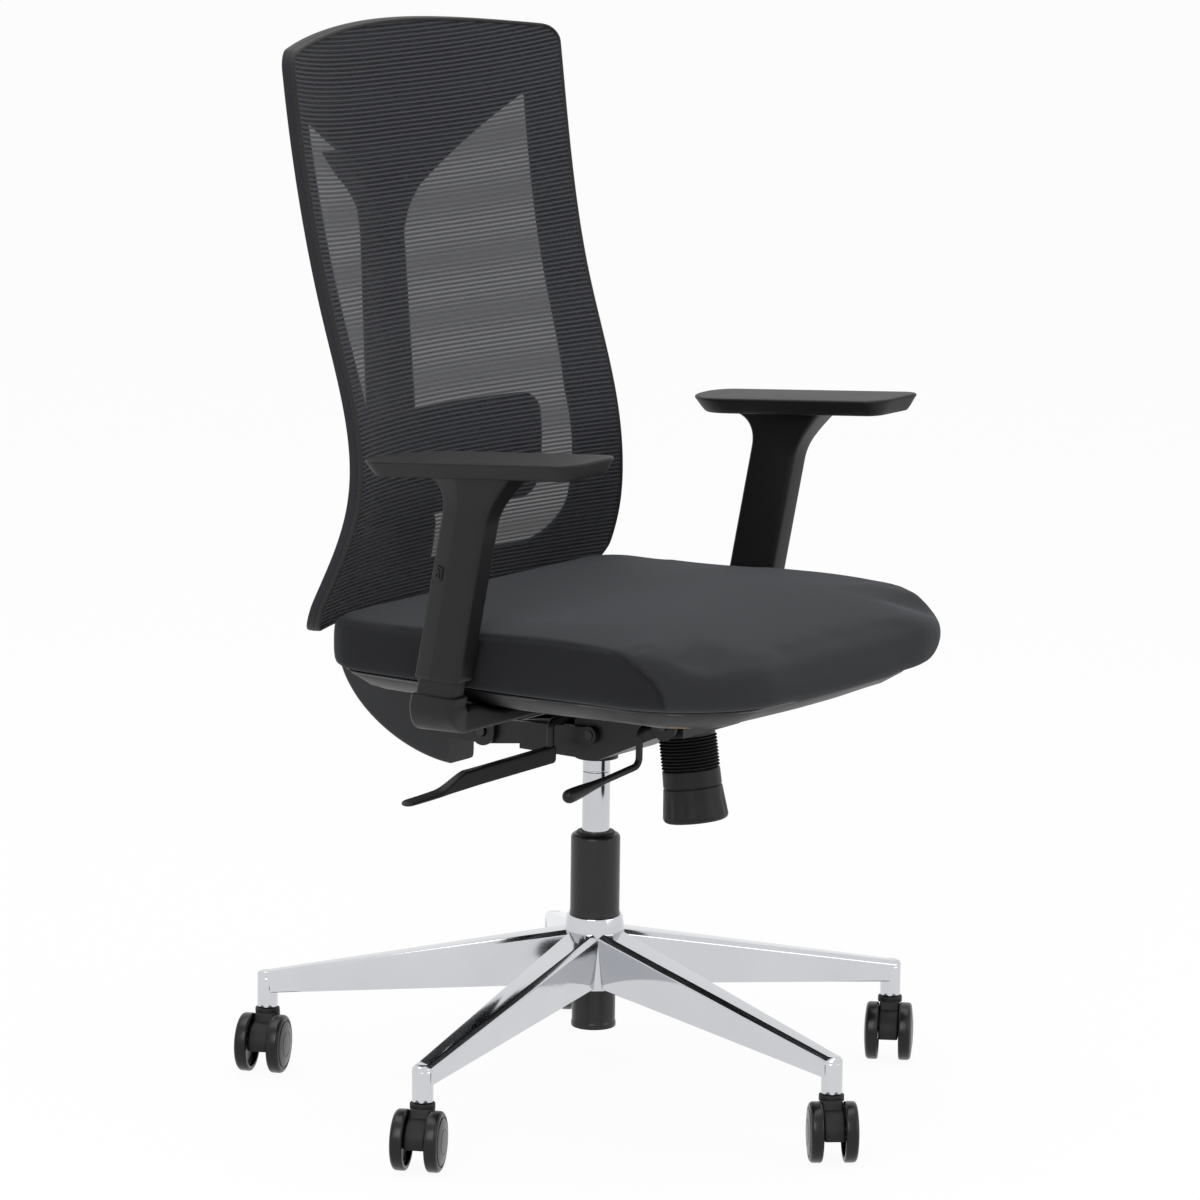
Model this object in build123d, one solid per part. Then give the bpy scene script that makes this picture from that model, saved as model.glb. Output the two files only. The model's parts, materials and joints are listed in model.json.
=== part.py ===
from build123d import *
import os
from math import asin, cos, degrees, radians, sin

# Swivel office chair, millimetres, +Z up, front towards -Y, the sitter's right side at -X.
# The origin is on the floor under the swivel axis. Heights are stacked from the floor upwards.

# Fits and walls
running_gap = 0.05
part_gap = 0.3
sheet_wall = 4.0
moulded_wall = 3.0

# Casters
caster_count = 5
stem_circle_radius = 341.0
first_leg_angle = -173.3
caster_trail_angles = [-155.5, -140.5, -149.5, -150.0, -157.5]
caster_trail = 16.0
wheel_diameter = 60.0
wheel_width = 13.0
wheel_track = 34.0
wheel_edge_round = 3.0
wheel_recess_depth = 2.2
wheel_recess_width = 2.0
axle_radius = 3.0
axle_seat_depth = 9.0
hood_bottom_height = 25.5
hood_rear_radius = 22.0
caster_neck_height = 4.5
caster_neck_radius = 12.5
stem_radius = 5.5
stem_depth = 26.0

# Five-star base
boss_radius = 10.5
boss_height = 38.0
leg_rise = 70.0
leg_tip_height = 22.0
leg_root_height = 60.0
leg_root_width = 38.0
leg_tip_width = 20.5
leg_foot_width = 30.0
leg_tip_foot_width = 18.0
leg_edge = 5.0
leg_tip_edge = 4.0
leg_wall = 5.0
leg_top_wall = 7.5
hub_height = 75.0
hub_radius = 30.0
hub_crown_radius = 28.0
hub_crown_height = 14.0
hub_above_legs = 10.0

# Gas column
column_radius = 25.0
column_tail_radius = 22.0
column_wall = 5.0
column_below_hub = 42.0
column_above_hub = 84.0
column_floor_recess = 8.0
column_floor = 4.0
bush_length = 72.0
bush_flange = 2.0
cylinder_radius = 14.0
cylinder_wall = 1.5
cylinder_end_cap = 12.0
cylinder_exposed = 78.0
cylinder_overlap = 110.0
cylinder_taper_length = 40.0
cylinder_taper_radius = 13.0
piston_height = 14.0
rod_radius = 5.0
rod_collar_radius = 10.0
bearing_radius = 15.0
bearing_washer = 2.0
bearing_cage = 4.0
lift_up = 38.0
release_pin_radius = 4.0
release_pin_length = 30.0
release_pin_proud = 4.5

# Tilt mechanism
housing_half_width = 50.0
housing_rear = 60.0
housing_front = 140.0
housing_flat_front = 36.0
housing_front_floor_rise = 36.0
housing_front_height = 60.0
housing_rear_height = 29.0
socket_radius = 22.0
socket_drop = 9.0
pivot_pin_radius = 5.0
back_pivot_y = -30.0
back_pivot_rise = 26.0
seat_pivot_y = -125.0
seat_pivot_rise = 49.0
link_pin_y = 98.0
link_pin_rise = 15.0
link_pin_play = 1.0
carrier_plate = 5.0
carrier_gap = 2.0
carrier_half_height = 8.0
carrier_eye_radius = 9.0
carrier_rear = 171.0
carrier_block_depth = 21.0
carrier_floor_rise = 1.0
carrier_block_height = 30.0
seat_ear = 3.0
seat_ear_gap = 3.0
seat_ear_half_width = 15.0
seat_plate_rise = 71.0
seat_plate = 3.0
seat_plate_half_width = 75.0
seat_plate_front = 150.0
seat_plate_rear = 130.0

# Tilt tension screw
knob_axis_y = -111.0
knob_axis_rise = 28.0
knob_lean = 8.0
bellows_length = 33.0
bellows_radius = 28.0
bellows_core_radius = 25.0
bellows_ribs = 10
knob_length = 53.0
knob_top_radius = 29.0
knob_bottom_radius = 32.5
knob_cup_depth = 30.0
knob_edge_round = 4.0
spring_seat_radius = 21.0
spring_seat_height = 6.0
spring_wire_radius = 2.8
spring_radius = 17.0
spring_turns = 5
spindle_radius = 5.0
spindle_head_radius = 8.0
spindle_head_height = 5.0
spring_tower_height = 9.0

# Hand levers
lift_rod_radius = 4.0
lift_rod_reach = 80.0
lift_rod_drop = 25.5
lift_rod_inner_end = 8.0
paddle_run_out = 90.0
paddle_run_back = 54.0
paddle_run_down = 13.0
paddle_height = 15.0
paddle_depth = 12.0
paddle_wall = 2.5
paddle_edge = 2.0
blade_edge = 1.0
blade_run_out = 40.0
blade_run_back = 29.0
blade_run_down = 32.0
blade_width = 26.0
blade_thickness = 4.0
lock_rod_radius = 3.5
lock_rod_y = -100.0
lock_rod_rise = 43.0
lock_rod_reach = 68.0
lock_rod_drop = 36.0
lock_rod_bend = 9.0
lock_run_out = 82.0
lock_run_down = 8.0
lock_grip_length = 64.0
lock_grip_radius = 6.5
lock_cam_radius = 6.0
lock_cam_width = 10.0

# Seat
seat_half_width = 247.0
seat_front = 307.0
seat_rear = 169.0
seat_front_corner = 118.0
seat_rear_corner = 45.0
shell_floor_inset = 58.0
shell_rim_inset = 16.0
shell_depth = 27.0
board_inset = 78.0
board_thickness = 12.0
cushion_plug_inset = 26.0
cushion_rear_height = 54.0
cushion_crest_height = 64.0
cushion_crest_y = -140.0
cushion_shoulder_y = -250.0
cushion_shoulder_height = 54.0
cushion_nose_height = 26.0
cushion_undercut = 10.0
cushion_front_draw = 6.0
cushion_rear_drop = 3.0

# Armrests
arm_seat_gap = 5.0
arm_lean = 11.0
arm_base_y = 6.0
elbow_drop = 14.0
elbow_height = 40.0
elbow_round = 18.0
bracket_inner_end = 105.0
bracket_half_width = 26.0
arm_bolt_inset = 16.0
arm_bolt_spacing = 34.0
stub_depth = 42.0
stub_width = 18.0
stub_edge = 3.0
stub_length = 150.0
sleeve_depth = 54.0
sleeve_width = 28.0
sleeve_gap = 17.0
sleeve_length = 208.0
sleeve_edge_round = 6.0
sleeve_flare = 34.0
sleeve_flare_depth = 104.0
sleeve_flare_width = 44.0
arm_lift_room = 24.0
pad_length = 256.0
pad_width = 88.0
pad_thickness = 17.0
pad_tilt = 4.7
pad_forward = 15.0
pad_corner = 24.0
pad_inner_corner = 62.0
pad_edge_round = 5.0
button_height = 14.0
button_width = 10.0
button_proud = 1.2
button_thickness = 3.4
button_rise = 105.0
button_rearward = 16.0

# Backrest: side curve through (front-to-back place of the edge, height above the seat plate)
back_curve = [(171.0, 62.0), (139.0, 142.0), (130.0, 202.0), (139.0, 272.0),
              (169.0, 372.0), (193.0, 472.0), (219.5, 648.0)]
back_dish = 48.0
back_levels = 14
mesh_thickness = 2.4
frame_thickness = 14.0
back_top_rise = 646.0
back_top_corner_rise = 631.0
back_top_corner_x = 206.0
back_shoulder_rise = 614.0
back_shoulder_x = 221.5
back_waist_rise = 340.0
back_waist_x = 214.5
back_flank_rise = 272.0
back_flank_x = 215.5
back_flare_rise = 182.0
back_flare_x = 224.5
back_hip_rise = 92.0
back_hip_x = 243.0
back_foot_rise = 64.0
back_foot_x = 236.0
back_foot_corner = 16.0
window_top_rise = 566.0
window_top_x = 186.0
window_waist_x = 170.0
window_foot_rise = 100.0
window_foot_x = 185.0
window_corner = 45.0
yoke_overlap = 42.0
spine_half_width = 22.0
spine_front_y = 246.0
spine_rear_y = 290.0
spine_heel_y = 318.0
spine_neck_y = 264.0
spine_neck_drop = 45.0
spine_bend_drop = 249.5
spine_top_rise = 517.0
spine_foot_drop = 107.0
spine_foot_height = 67.0
lumbar_half_width = 139.0
lumbar_bottom_rise = 149.0
lumbar_height = 111.0
lumbar_corner = 20.0
lumbar_thickness = 9.0
lumbar_behind_mesh = 12.0
lumbar_tongue_height = 36.0
lumbar_tongue_width = 24.0
lumbar_slot_depth = 6.0
lumbar_travel = 20.0

# Fasteners
bolt_radius = 3.0
bolt_head_radius = 6.0
bolt_head_height = 4.0

# Heights and places worked out from the sizes above
wheel_radius = wheel_diameter / 2
stem_seat_z = wheel_diameter + caster_neck_height
leg_tip_z = stem_seat_z + boss_height
leg_root_z = leg_tip_z + leg_rise
hub_top_z = leg_root_z + hub_above_legs
hub_bottom_z = hub_top_z - hub_height
column_bottom_z = hub_bottom_z - column_below_hub
column_top_z = hub_top_z + column_above_hub
column_bore_radius = column_tail_radius - column_wall / 2
column_floor_z = column_bottom_z + column_floor_recess + column_floor
bearing_top_z = column_floor_z + 2 * bearing_washer + bearing_cage
socket_z = column_top_z + cylinder_exposed
cylinder_bottom_z = column_top_z - cylinder_overlap
cylinder_top_z = socket_z + cylinder_taper_length
piston_z = cylinder_bottom_z + cylinder_end_cap + lift_up + 2 * part_gap
release_pin_top_z = cylinder_top_z + release_pin_proud
housing_z = socket_z + socket_drop
seat_z = housing_z + seat_plate_rise
board_z = seat_z + seat_plate
rim_z = seat_z + shell_depth
carrier_x = housing_half_width + carrier_gap
ear_x = carrier_x + carrier_plate + seat_ear_gap
lift_rod_z = release_pin_top_z + lift_rod_radius + part_gap
lock_rod_z = housing_z + lock_rod_rise
lock_cam_x = bellows_radius + sheet_wall
back_pivot_z = housing_z + back_pivot_rise
seat_pivot_z = housing_z + seat_pivot_rise
link_pin_z = housing_z + link_pin_rise
elbow_z = seat_z - elbow_drop
frame_offset = mesh_thickness + part_gap
arm_x = seat_half_width + arm_seat_gap + sleeve_width / 2
yoke_tip_rise = spine_top_rise - yoke_overlap


def upright(radius, low, high, x=0, y=0):
    """An upright cylinder between two heights."""
    return Pos(x, y, low) * Cylinder(radius, high - low, align=(Align.CENTER, Align.CENTER, Align.MIN))


def ring(outer, inner, low, high):
    """A plain round ring about the swivel axis."""
    return upright(outer, low, high) - upright(inner, low, high)


def turned(profile):
    """A solid turned about the Z axis from a closed outline of (radius, height) points."""
    return revolve(make_face(Plane.XZ * Polyline(*profile, close=True)), Axis.Z)


def side_plate(outline, start, end):
    """A plate with a side outline of (y, z) points, between two places across the chair."""
    face = make_face(Polyline(*outline, close=True))
    return extrude(Plane.YZ.offset(start) * face, end - start)


def cross_pin(radius, y, z, start, end):
    """A round pin lying across the chair."""
    return extrude(Plane.YZ.offset(start) * Pos(y, z) * Circle(radius), end - start)


def both_sides(shape):
    return [shape, mirror(shape, about=Plane.YZ)]


def group(solids):
    return Compound(children=list(solids))


def upright_bolt(x, y, head_z, shank_top):
    """A bolt driven upwards, with its head under head_z."""
    head = upright(bolt_head_radius, head_z - bolt_head_height, head_z, x, y)
    return head + upright(bolt_radius, head_z, shank_top, x, y)


def bolt_hole(x, y, low, high):
    return upright(bolt_radius + running_gap, low, high, x, y)


# Casters: built with the stem on the origin and the wheels trailing along +X
def caster_hood():
    """Moulded hood between the two wheels, with a round neck under the leg."""
    half = wheel_track / 2 - wheel_width / 2 - part_gap
    shoulder_z = wheel_diameter + part_gap
    front = make_face(Polyline(
        (-caster_neck_radius, hood_bottom_height), (caster_trail, hood_bottom_height),
        (caster_trail, wheel_radius + hood_rear_radius), (caster_neck_radius, shoulder_z),
        (-caster_neck_radius, shoulder_z), close=True))
    rear = Pos(caster_trail, wheel_radius) * Circle(hood_rear_radius)
    rear -= Pos(caster_trail, hood_bottom_height - hood_rear_radius) * Rectangle(
        4 * hood_rear_radius, 2 * hood_rear_radius)
    hood = extrude(Plane.XZ * (front + rear), half, both=True)
    hood += upright(caster_neck_radius, shoulder_z, stem_seat_z - part_gap)
    hood -= upright(stem_radius, wheel_radius, stem_seat_z)
    hood -= Pos(caster_trail, 0, wheel_radius) * Rot(90, 0, 0) * Cylinder(axle_radius, wheel_track)
    return hood


def caster_pins():
    """Steel stem pressed up into the leg, and the steel axle of the wheels."""
    stem = upright(stem_radius, wheel_radius, stem_seat_z + stem_depth)
    axle_length = wheel_track - wheel_width + 2 * axle_seat_depth
    axle = Pos(caster_trail, 0, wheel_radius) * Rot(90, 0, 0) * Cylinder(axle_radius, axle_length)
    stem -= Pos(caster_trail, 0, wheel_radius) * Rot(90, 0, 0) * Cylinder(axle_radius + part_gap, axle_length)
    return group([stem, axle])


def caster_wheel():
    """One wheel, turned about Z: tyre edge rounded, outer face dished, blind axle bore on the inner face."""
    wheel = fillet(upright(wheel_radius, 0, wheel_width).edges(), wheel_edge_round)
    groove = wheel_radius - 2 * wheel_edge_round
    wheel -= ring(groove, groove - wheel_recess_width, wheel_width - wheel_recess_depth, wheel_width)
    return wheel - upright(axle_radius + running_gap, 0, axle_seat_depth + part_gap)


def place_caster(shape, index):
    """Turns a caster piece to its resting swivel angle and sets it under its leg."""
    angle = radians(leg_angle(index))
    place = Pos(stem_circle_radius * cos(angle), stem_circle_radius * sin(angle), 0)
    return place * Rot(0, 0, caster_trail_angles[index]) * shape


def place_wheel(shape, side):
    """Stands a wheel on the axle, with its dished face outwards; side is +1 or -1."""
    inner_face = side * (wheel_track - wheel_width) / 2
    return Pos(caster_trail, inner_face, wheel_radius) * Rot(-90 * side, 0, 0) * shape


def leg_angle(index):
    return first_leg_angle + index * 360 / caster_count


# Five-star base
def leg_section(reach, low, high, top_width, foot_width, edge):
    """Leg cross-section at a reach from the axis: drafted sides and bevelled top edges."""
    outline = Polyline(
        (-foot_width / 2, low), (foot_width / 2, low), (top_width / 2, high - edge),
        (top_width / 2 - edge, high), (edge - top_width / 2, high), (-top_width / 2, high - edge), close=True)
    return Plane(origin=(reach, 0, 0), x_dir=(0, 1, 0), z_dir=(1, 0, 0)) * make_face(outline)


def leg():
    root = leg_section(0, leg_root_z - leg_root_height, leg_root_z, leg_root_width, leg_foot_width, leg_edge)
    tip = leg_section(stem_circle_radius, leg_tip_z - leg_tip_height, leg_tip_z,
                      leg_tip_width, leg_tip_foot_width, leg_tip_edge)
    return loft([root, tip])


def leg_hollow():
    """The space under a leg, open downwards."""
    wall = leg_wall
    root = leg_section(hub_radius + wall, leg_root_z - leg_root_height - wall, leg_root_z - leg_top_wall,
                       leg_root_width - 2 * wall, leg_foot_width - 2 * wall, leg_edge)
    tip = leg_section(stem_circle_radius - boss_radius - 2 * wall, leg_tip_z - leg_tip_height - wall,
                      leg_tip_z - leg_top_wall, leg_tip_width - 2 * wall, leg_tip_foot_width - 2 * wall, leg_tip_edge)
    return loft([root, tip])


def five_star_base():
    hub = turned([(0, hub_bottom_z), (hub_radius, hub_bottom_z), (hub_radius, hub_top_z - hub_crown_height),
                  (hub_crown_radius, hub_top_z), (0, hub_top_z)])
    boss = upright(boss_radius, stem_seat_z, leg_tip_z, stem_circle_radius)
    socket = upright(stem_radius + running_gap, stem_seat_z, stem_seat_z + stem_depth + part_gap, stem_circle_radius)
    hollow = leg_hollow()
    base = hub
    for index in range(caster_count):
        base += Rot(0, 0, leg_angle(index)) * (leg() + boss)
    for index in range(caster_count):
        base -= Rot(0, 0, leg_angle(index)) * socket
        base -= Rot(0, 0, leg_angle(index)) * hollow
    bore = turned([(0, hub_bottom_z - 1), (column_tail_radius, hub_bottom_z - 1), (column_tail_radius, hub_bottom_z),
                   (column_radius, hub_top_z), (column_radius, hub_top_z + 1), (0, hub_top_z + 1)])
    return base - bore


# Gas column
def column_tube():
    """Outer tube with its taper wedged in the hub and a floor plate that carries the bearing."""
    outside = [(0, column_bottom_z), (column_tail_radius, column_bottom_z), (column_tail_radius, hub_bottom_z),
               (column_radius, hub_top_z), (column_radius, column_top_z), (0, column_top_z)]
    tube = turned(outside)
    tube -= upright(column_bore_radius, column_floor_z, column_top_z)
    tube -= upright(column_bore_radius, column_bottom_z, column_bottom_z + column_floor_recess)
    return tube - upright(rod_radius + running_gap, 0, column_top_z)


def guide_bush():
    inner = cylinder_radius + running_gap
    sleeve = ring(column_bore_radius, inner, column_top_z - bush_length, column_top_z)
    return sleeve + ring(column_radius, inner, column_top_z, column_top_z + bush_flange)


def thrust_bearing():
    inner = rod_radius + part_gap
    cage_z = column_floor_z + bearing_washer
    lower = ring(bearing_radius, inner, column_floor_z, cage_z)
    cage = ring(bearing_radius - 1, inner + 1, cage_z, cage_z + bearing_cage)
    upper = ring(bearing_radius, inner, cage_z + bearing_cage, bearing_top_z)
    return group([lower, cage, upper])


def piston_rod():
    """Rod that stands on the bearing by its collar, with the piston on its top."""
    foot_z = column_bottom_z + part_gap
    piston_radius = cylinder_radius - cylinder_wall - running_gap
    return turned([(0, foot_z), (rod_radius, foot_z), (rod_radius, bearing_top_z + part_gap),
                   (rod_collar_radius, bearing_top_z + part_gap),
                   (rod_collar_radius, bearing_top_z + part_gap + rod_radius),
                   (rod_radius, bearing_top_z + part_gap + rod_radius), (rod_radius, piston_z),
                   (piston_radius, piston_z), (piston_radius, piston_z + piston_height),
                   (0, piston_z + piston_height)])


def rod_clip():
    top = column_bottom_z + column_floor_recess - part_gap
    return ring(rod_collar_radius, rod_radius, top - bearing_washer, top)


def gas_cylinder():
    outside = turned([(0, cylinder_bottom_z), (cylinder_radius, cylinder_bottom_z), (cylinder_radius, socket_z),
                      (cylinder_taper_radius, cylinder_top_z), (0, cylinder_top_z)])
    chamber_z = cylinder_bottom_z + cylinder_end_cap
    chamber = upright(cylinder_radius - cylinder_wall, chamber_z, socket_z)
    rod_hole = upright(rod_radius + running_gap, cylinder_bottom_z, chamber_z)
    pin_hole = upright(release_pin_radius + running_gap, socket_z, cylinder_top_z)
    return outside - chamber - rod_hole - pin_hole


def release_pin():
    return upright(release_pin_radius, release_pin_top_z - release_pin_length, release_pin_top_z)


# Tilt mechanism
def housing_outline(wall):
    """Side outline of the housing, or with a wall that of its hollow, open at the top."""
    lift = 0 if wall == 0 else housing_front_height
    return [(housing_rear - wall, housing_z + wall), (housing_rear - wall, housing_z + housing_rear_height + lift),
            (wall - housing_front, housing_z + housing_front_height + lift),
            (wall - housing_front, housing_z + housing_front_floor_rise + wall),
            (seat_pivot_y + 2 * pivot_pin_radius, housing_z + housing_front_floor_rise + wall),
            (-housing_flat_front, housing_z + wall)]


def knob_frame(depth):
    """Plane across the tension screw's leaning axis, at a depth down from the bellows' top."""
    down = Vector(0, -sin(radians(knob_lean)), -cos(radians(knob_lean)))
    top = Vector(0, knob_axis_y, housing_z + knob_axis_rise)
    return Plane(origin=top + down * depth, x_dir=(1, 0, 0), z_dir=-down)


def knob_ring(outer, inner, start, end):
    """A round ring about the tension screw's axis, between two depths."""
    face = Circle(outer) if inner == 0 else Circle(outer) - Circle(inner)
    return extrude(knob_frame(end) * face, end - start)


def mechanism_housing():
    width = housing_half_width
    inside = width - sheet_wall
    pan = side_plate(housing_outline(0), -width, width)
    pan -= side_plate(housing_outline(sheet_wall), -inside, inside)
    socket_top = housing_z + housing_rear_height
    pan += upright(socket_radius, socket_z, socket_top)
    pan += knob_ring(bellows_radius, 0, -spring_tower_height, -part_gap)
    pan -= knob_ring(bellows_radius + 1, 0, -part_gap, bellows_length)
    pan -= knob_ring(spindle_radius + running_gap, 0, -housing_front_height, bellows_length)
    pan -= knob_ring(spindle_head_radius + 1, 0, -housing_front_height, -spring_tower_height)
    taper = turned([(0, socket_z), (cylinder_radius, socket_z), (cylinder_taper_radius, cylinder_top_z),
                    (cylinder_taper_radius, cylinder_top_z + socket_top), (0, cylinder_top_z + socket_top)])
    pan -= taper
    pan -= Pos(0, 0, lift_rod_z) * Box(
        4 * width, 4 * lift_rod_radius, 4 * lift_rod_radius, align=(Align.MAX, Align.CENTER, Align.CENTER))
    pan -= cross_pin(pivot_pin_radius, back_pivot_y, back_pivot_z, -width, width)
    pan -= cross_pin(pivot_pin_radius, seat_pivot_y, seat_pivot_z, -width, width)
    pan -= cross_pin(lock_rod_radius + running_gap, lock_rod_y, lock_rod_z, -width, 0)
    return pan


def pivot_pins():
    """Two cross shafts held by the housing: the backrest's and the seat's."""
    back_end = carrier_x + carrier_plate + 1
    seat_end = ear_x + seat_ear + seat_ear_gap
    return group([cross_pin(pivot_pin_radius, back_pivot_y, back_pivot_z, -back_end, back_end),
                  cross_pin(pivot_pin_radius, seat_pivot_y, seat_pivot_z, -seat_end, seat_end)])


def spring_bellows():
    """Folded rubber sleeve round the tension spring, its folds turned as a zigzag outline."""
    pitch = bellows_length / bellows_ribs
    wall = bellows_radius - bellows_core_radius
    outer = []
    for rib in range(bellows_ribs):
        start = rib * pitch
        outer += [(bellows_core_radius + wall / 2, start), (bellows_radius, start + pitch / 2)]
    outer += [(bellows_core_radius + wall / 2, bellows_length)]
    inner = [(bellows_core_radius, bellows_length), (bellows_core_radius, 0)]
    face = make_face(Plane.XZ * Polyline(*(outer + inner), close=True))
    return knob_frame(bellows_length) * revolve(face, Axis.Z)


def tension_spring():
    """Coil spring between the housing and the spring seat."""
    height = bellows_length - 2 * spring_wire_radius
    coil = Helix(height / spring_turns, height, spring_radius)
    wire = sweep(Plane(coil @ 0, z_dir=coil % 0) * Circle(spring_wire_radius), path=coil)
    return knob_frame(bellows_length - spring_wire_radius) * wire


def spring_seat():
    start = bellows_length + part_gap
    return knob_ring(spring_seat_radius, spindle_radius + running_gap, start, start + spring_seat_height)


def tension_spindle():
    """Screw that hangs from the tilt lever, through the spring and down into the knob."""
    head_start = -spring_tower_height - part_gap - spindle_head_height
    head = knob_ring(spindle_head_radius, 0, head_start, head_start + spindle_head_height)
    shank_end = bellows_length + knob_length - sheet_wall - part_gap
    return head + knob_ring(spindle_radius, 0, head_start, shank_end)


def tension_knob():
    """Hand knob: a cup open towards the bellows, wider at its foot."""
    top = bellows_length + part_gap
    profile = Polyline((0, 0), (knob_bottom_radius, 0), (knob_top_radius, knob_length), (0, knob_length), close=True)
    body = revolve(make_face(Plane.XZ * profile), Axis.Z)
    body = fillet(body.edges().group_by(Axis.Z)[0], knob_edge_round)
    body = knob_frame(top + knob_length) * body
    body -= knob_ring(bellows_core_radius, 0, top, top + knob_cup_depth)
    return body - knob_ring(spindle_radius + running_gap, 0, top, top + knob_length - sheet_wall)


def bent_rod(points, radius, bend):
    """A round rod along straight runs joined by tangent bends."""
    path = FilletPolyline(*points, radius=bend)
    start = Plane(origin=path @ 0, z_dir=path % 0)
    return sweep(start * Circle(radius), path=path)


def lift_lever_rod():
    """Release rod: over the release pin, out through the housing's side, then down to the paddle."""
    return bent_rod([(lift_rod_inner_end, 0, lift_rod_z), (-lift_rod_reach, 0, lift_rod_z),
                     (-lift_rod_reach, 0, lift_rod_z - lift_rod_drop)], lift_rod_radius, 2 * lift_rod_radius)


def lift_lever_paddle():
    """Flat finger paddle: an upright bar that twists into a level blade."""
    start = Vector(-lift_rod_reach, 0, lift_rod_z - lift_rod_drop - paddle_height / 2)
    shoulder = start + Vector(-paddle_run_out, paddle_run_back, -paddle_run_down)
    tip = shoulder + Vector(-blade_run_out, blade_run_back, -blade_run_down)
    along = (shoulder - start).normalized()
    across = Vector(0, 0, 1).cross(along).normalized()
    inner = start - along * (lift_rod_radius + paddle_wall)
    bar = [Plane(origin=inner, x_dir=across, z_dir=along) * RectangleRounded(paddle_depth, paddle_height, paddle_edge),
           Plane(origin=shoulder, x_dir=across, z_dir=along) * RectangleRounded(paddle_depth, paddle_height, paddle_edge)]
    blade_along = (tip - shoulder).normalized()
    blade = [bar[1], Plane(origin=tip, x_dir=across, z_dir=blade_along) * RectangleRounded(
        blade_width, blade_thickness, blade_edge)]
    paddle = loft(bar) + loft(blade)
    return paddle - upright(lift_rod_radius, start.Z, lift_rod_z, -lift_rod_reach)


def lock_path():
    """Corner points of the tilt-lock wire: across, down, then out to its grip."""
    elbow = (-lock_rod_reach, lock_rod_y, lock_rod_z - lock_rod_drop)
    end = (-lock_rod_reach - lock_run_out, lock_rod_y, elbow[2] - lock_run_down)
    return [(-lock_cam_x, lock_rod_y, lock_rod_z), (-lock_rod_reach, lock_rod_y, lock_rod_z), elbow, end]


def lock_lever_rod():
    """Tilt-lock wire with the locking cam on its inner end."""
    wire = bent_rod(lock_path(), lock_rod_radius, lock_rod_bend)
    return wire + cross_pin(lock_cam_radius, lock_rod_y, lock_rod_z, -lock_cam_x - lock_cam_width, -lock_cam_x)


def lock_lever_grip():
    """Round grip over the wire's end."""
    elbow, end = [Vector(*point) for point in lock_path()[2:]]
    along = (end - elbow).normalized()
    start = end - along * (lock_grip_length / 3)
    frame = Plane(origin=start, x_dir=(0, 1, 0), z_dir=along)
    grip = extrude(frame * Circle(lock_grip_radius), lock_grip_length)
    grip = fillet(grip.edges(), lock_grip_radius / 2)
    return grip - extrude(frame * Circle(lock_rod_radius), lock_grip_length / 3)


def back_carrier():
    """Steel fork on the back pivot: two side arms and the block that the spine is bolted to."""
    arm_top = carrier_half_height
    floor = housing_z + carrier_floor_rise
    outline = [(back_pivot_y, back_pivot_z - arm_top), (back_pivot_y, back_pivot_z + arm_top),
               (link_pin_y, link_pin_z + arm_top + sheet_wall), (carrier_rear, floor + carrier_block_height),
               (carrier_rear, floor), (link_pin_y, floor)]
    plate = side_plate(outline, carrier_x, carrier_x + carrier_plate)
    plate += cross_pin(carrier_eye_radius, back_pivot_y, back_pivot_z, carrier_x, carrier_x + carrier_plate)
    plate += cross_pin(carrier_eye_radius, link_pin_y, link_pin_z, carrier_x, carrier_x + carrier_plate)
    plate -= cross_pin(pivot_pin_radius + running_gap, back_pivot_y, back_pivot_z, carrier_x, ear_x)
    plate -= cross_pin(pivot_pin_radius, link_pin_y, link_pin_z, carrier_x, ear_x)
    block_front = carrier_rear - carrier_block_depth
    block = side_plate([(block_front, floor), (carrier_rear, floor), (carrier_rear, floor + carrier_block_height),
                        (block_front, floor + carrier_block_height)], -carrier_x, carrier_x)
    fork = block
    for side in both_sides(plate):
        fork += side
    for x, z in spine_bolt_places():
        fork -= level_bolt(x, z, block_front, carrier_rear, bolt_radius + running_gap, 0)
    return fork


def link_pins():
    """Two pins of the carrier that ride in the seat plate's rear ears."""
    pin = cross_pin(pivot_pin_radius, link_pin_y, link_pin_z, carrier_x, ear_x + seat_ear + seat_ear_gap)
    return group(both_sides(pin))


# Seat
def seat_outline(inset, height, front_draw=0):
    """The seat's plan at a height, drawn in by an inset, by half of it at the rear and by more at the front."""
    wide = seat_half_width - inset
    front = -seat_front + inset + front_draw
    rear = seat_rear - inset / 2
    face = make_face(Polyline((-wide, front), (wide, front), (wide, rear), (-wide, rear), close=True))
    corners = face.vertices()
    face = fillet(corners.group_by(Axis.Y)[0], max(seat_front_corner - inset, moulded_wall))
    rear_corners = face.vertices().filter_by(lambda v: v.Y > rear - moulded_wall)
    face = fillet(rear_corners, max(seat_rear_corner - inset / 2, moulded_wall))
    return Pos(0, 0, height) * face


def arm_bolt_places():
    first = bracket_inner_end + arm_bolt_inset
    return [(first, arm_base_y), (first + arm_bolt_spacing, arm_base_y)]


def plate_bolt_places():
    across = housing_half_width - bolt_head_radius
    ends = (-seat_plate_front + 3 * bolt_head_radius, seat_plate_rear - 3 * bolt_head_radius)
    return [(side * across, y) for side in (-1, 1) for y in ends]


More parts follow.
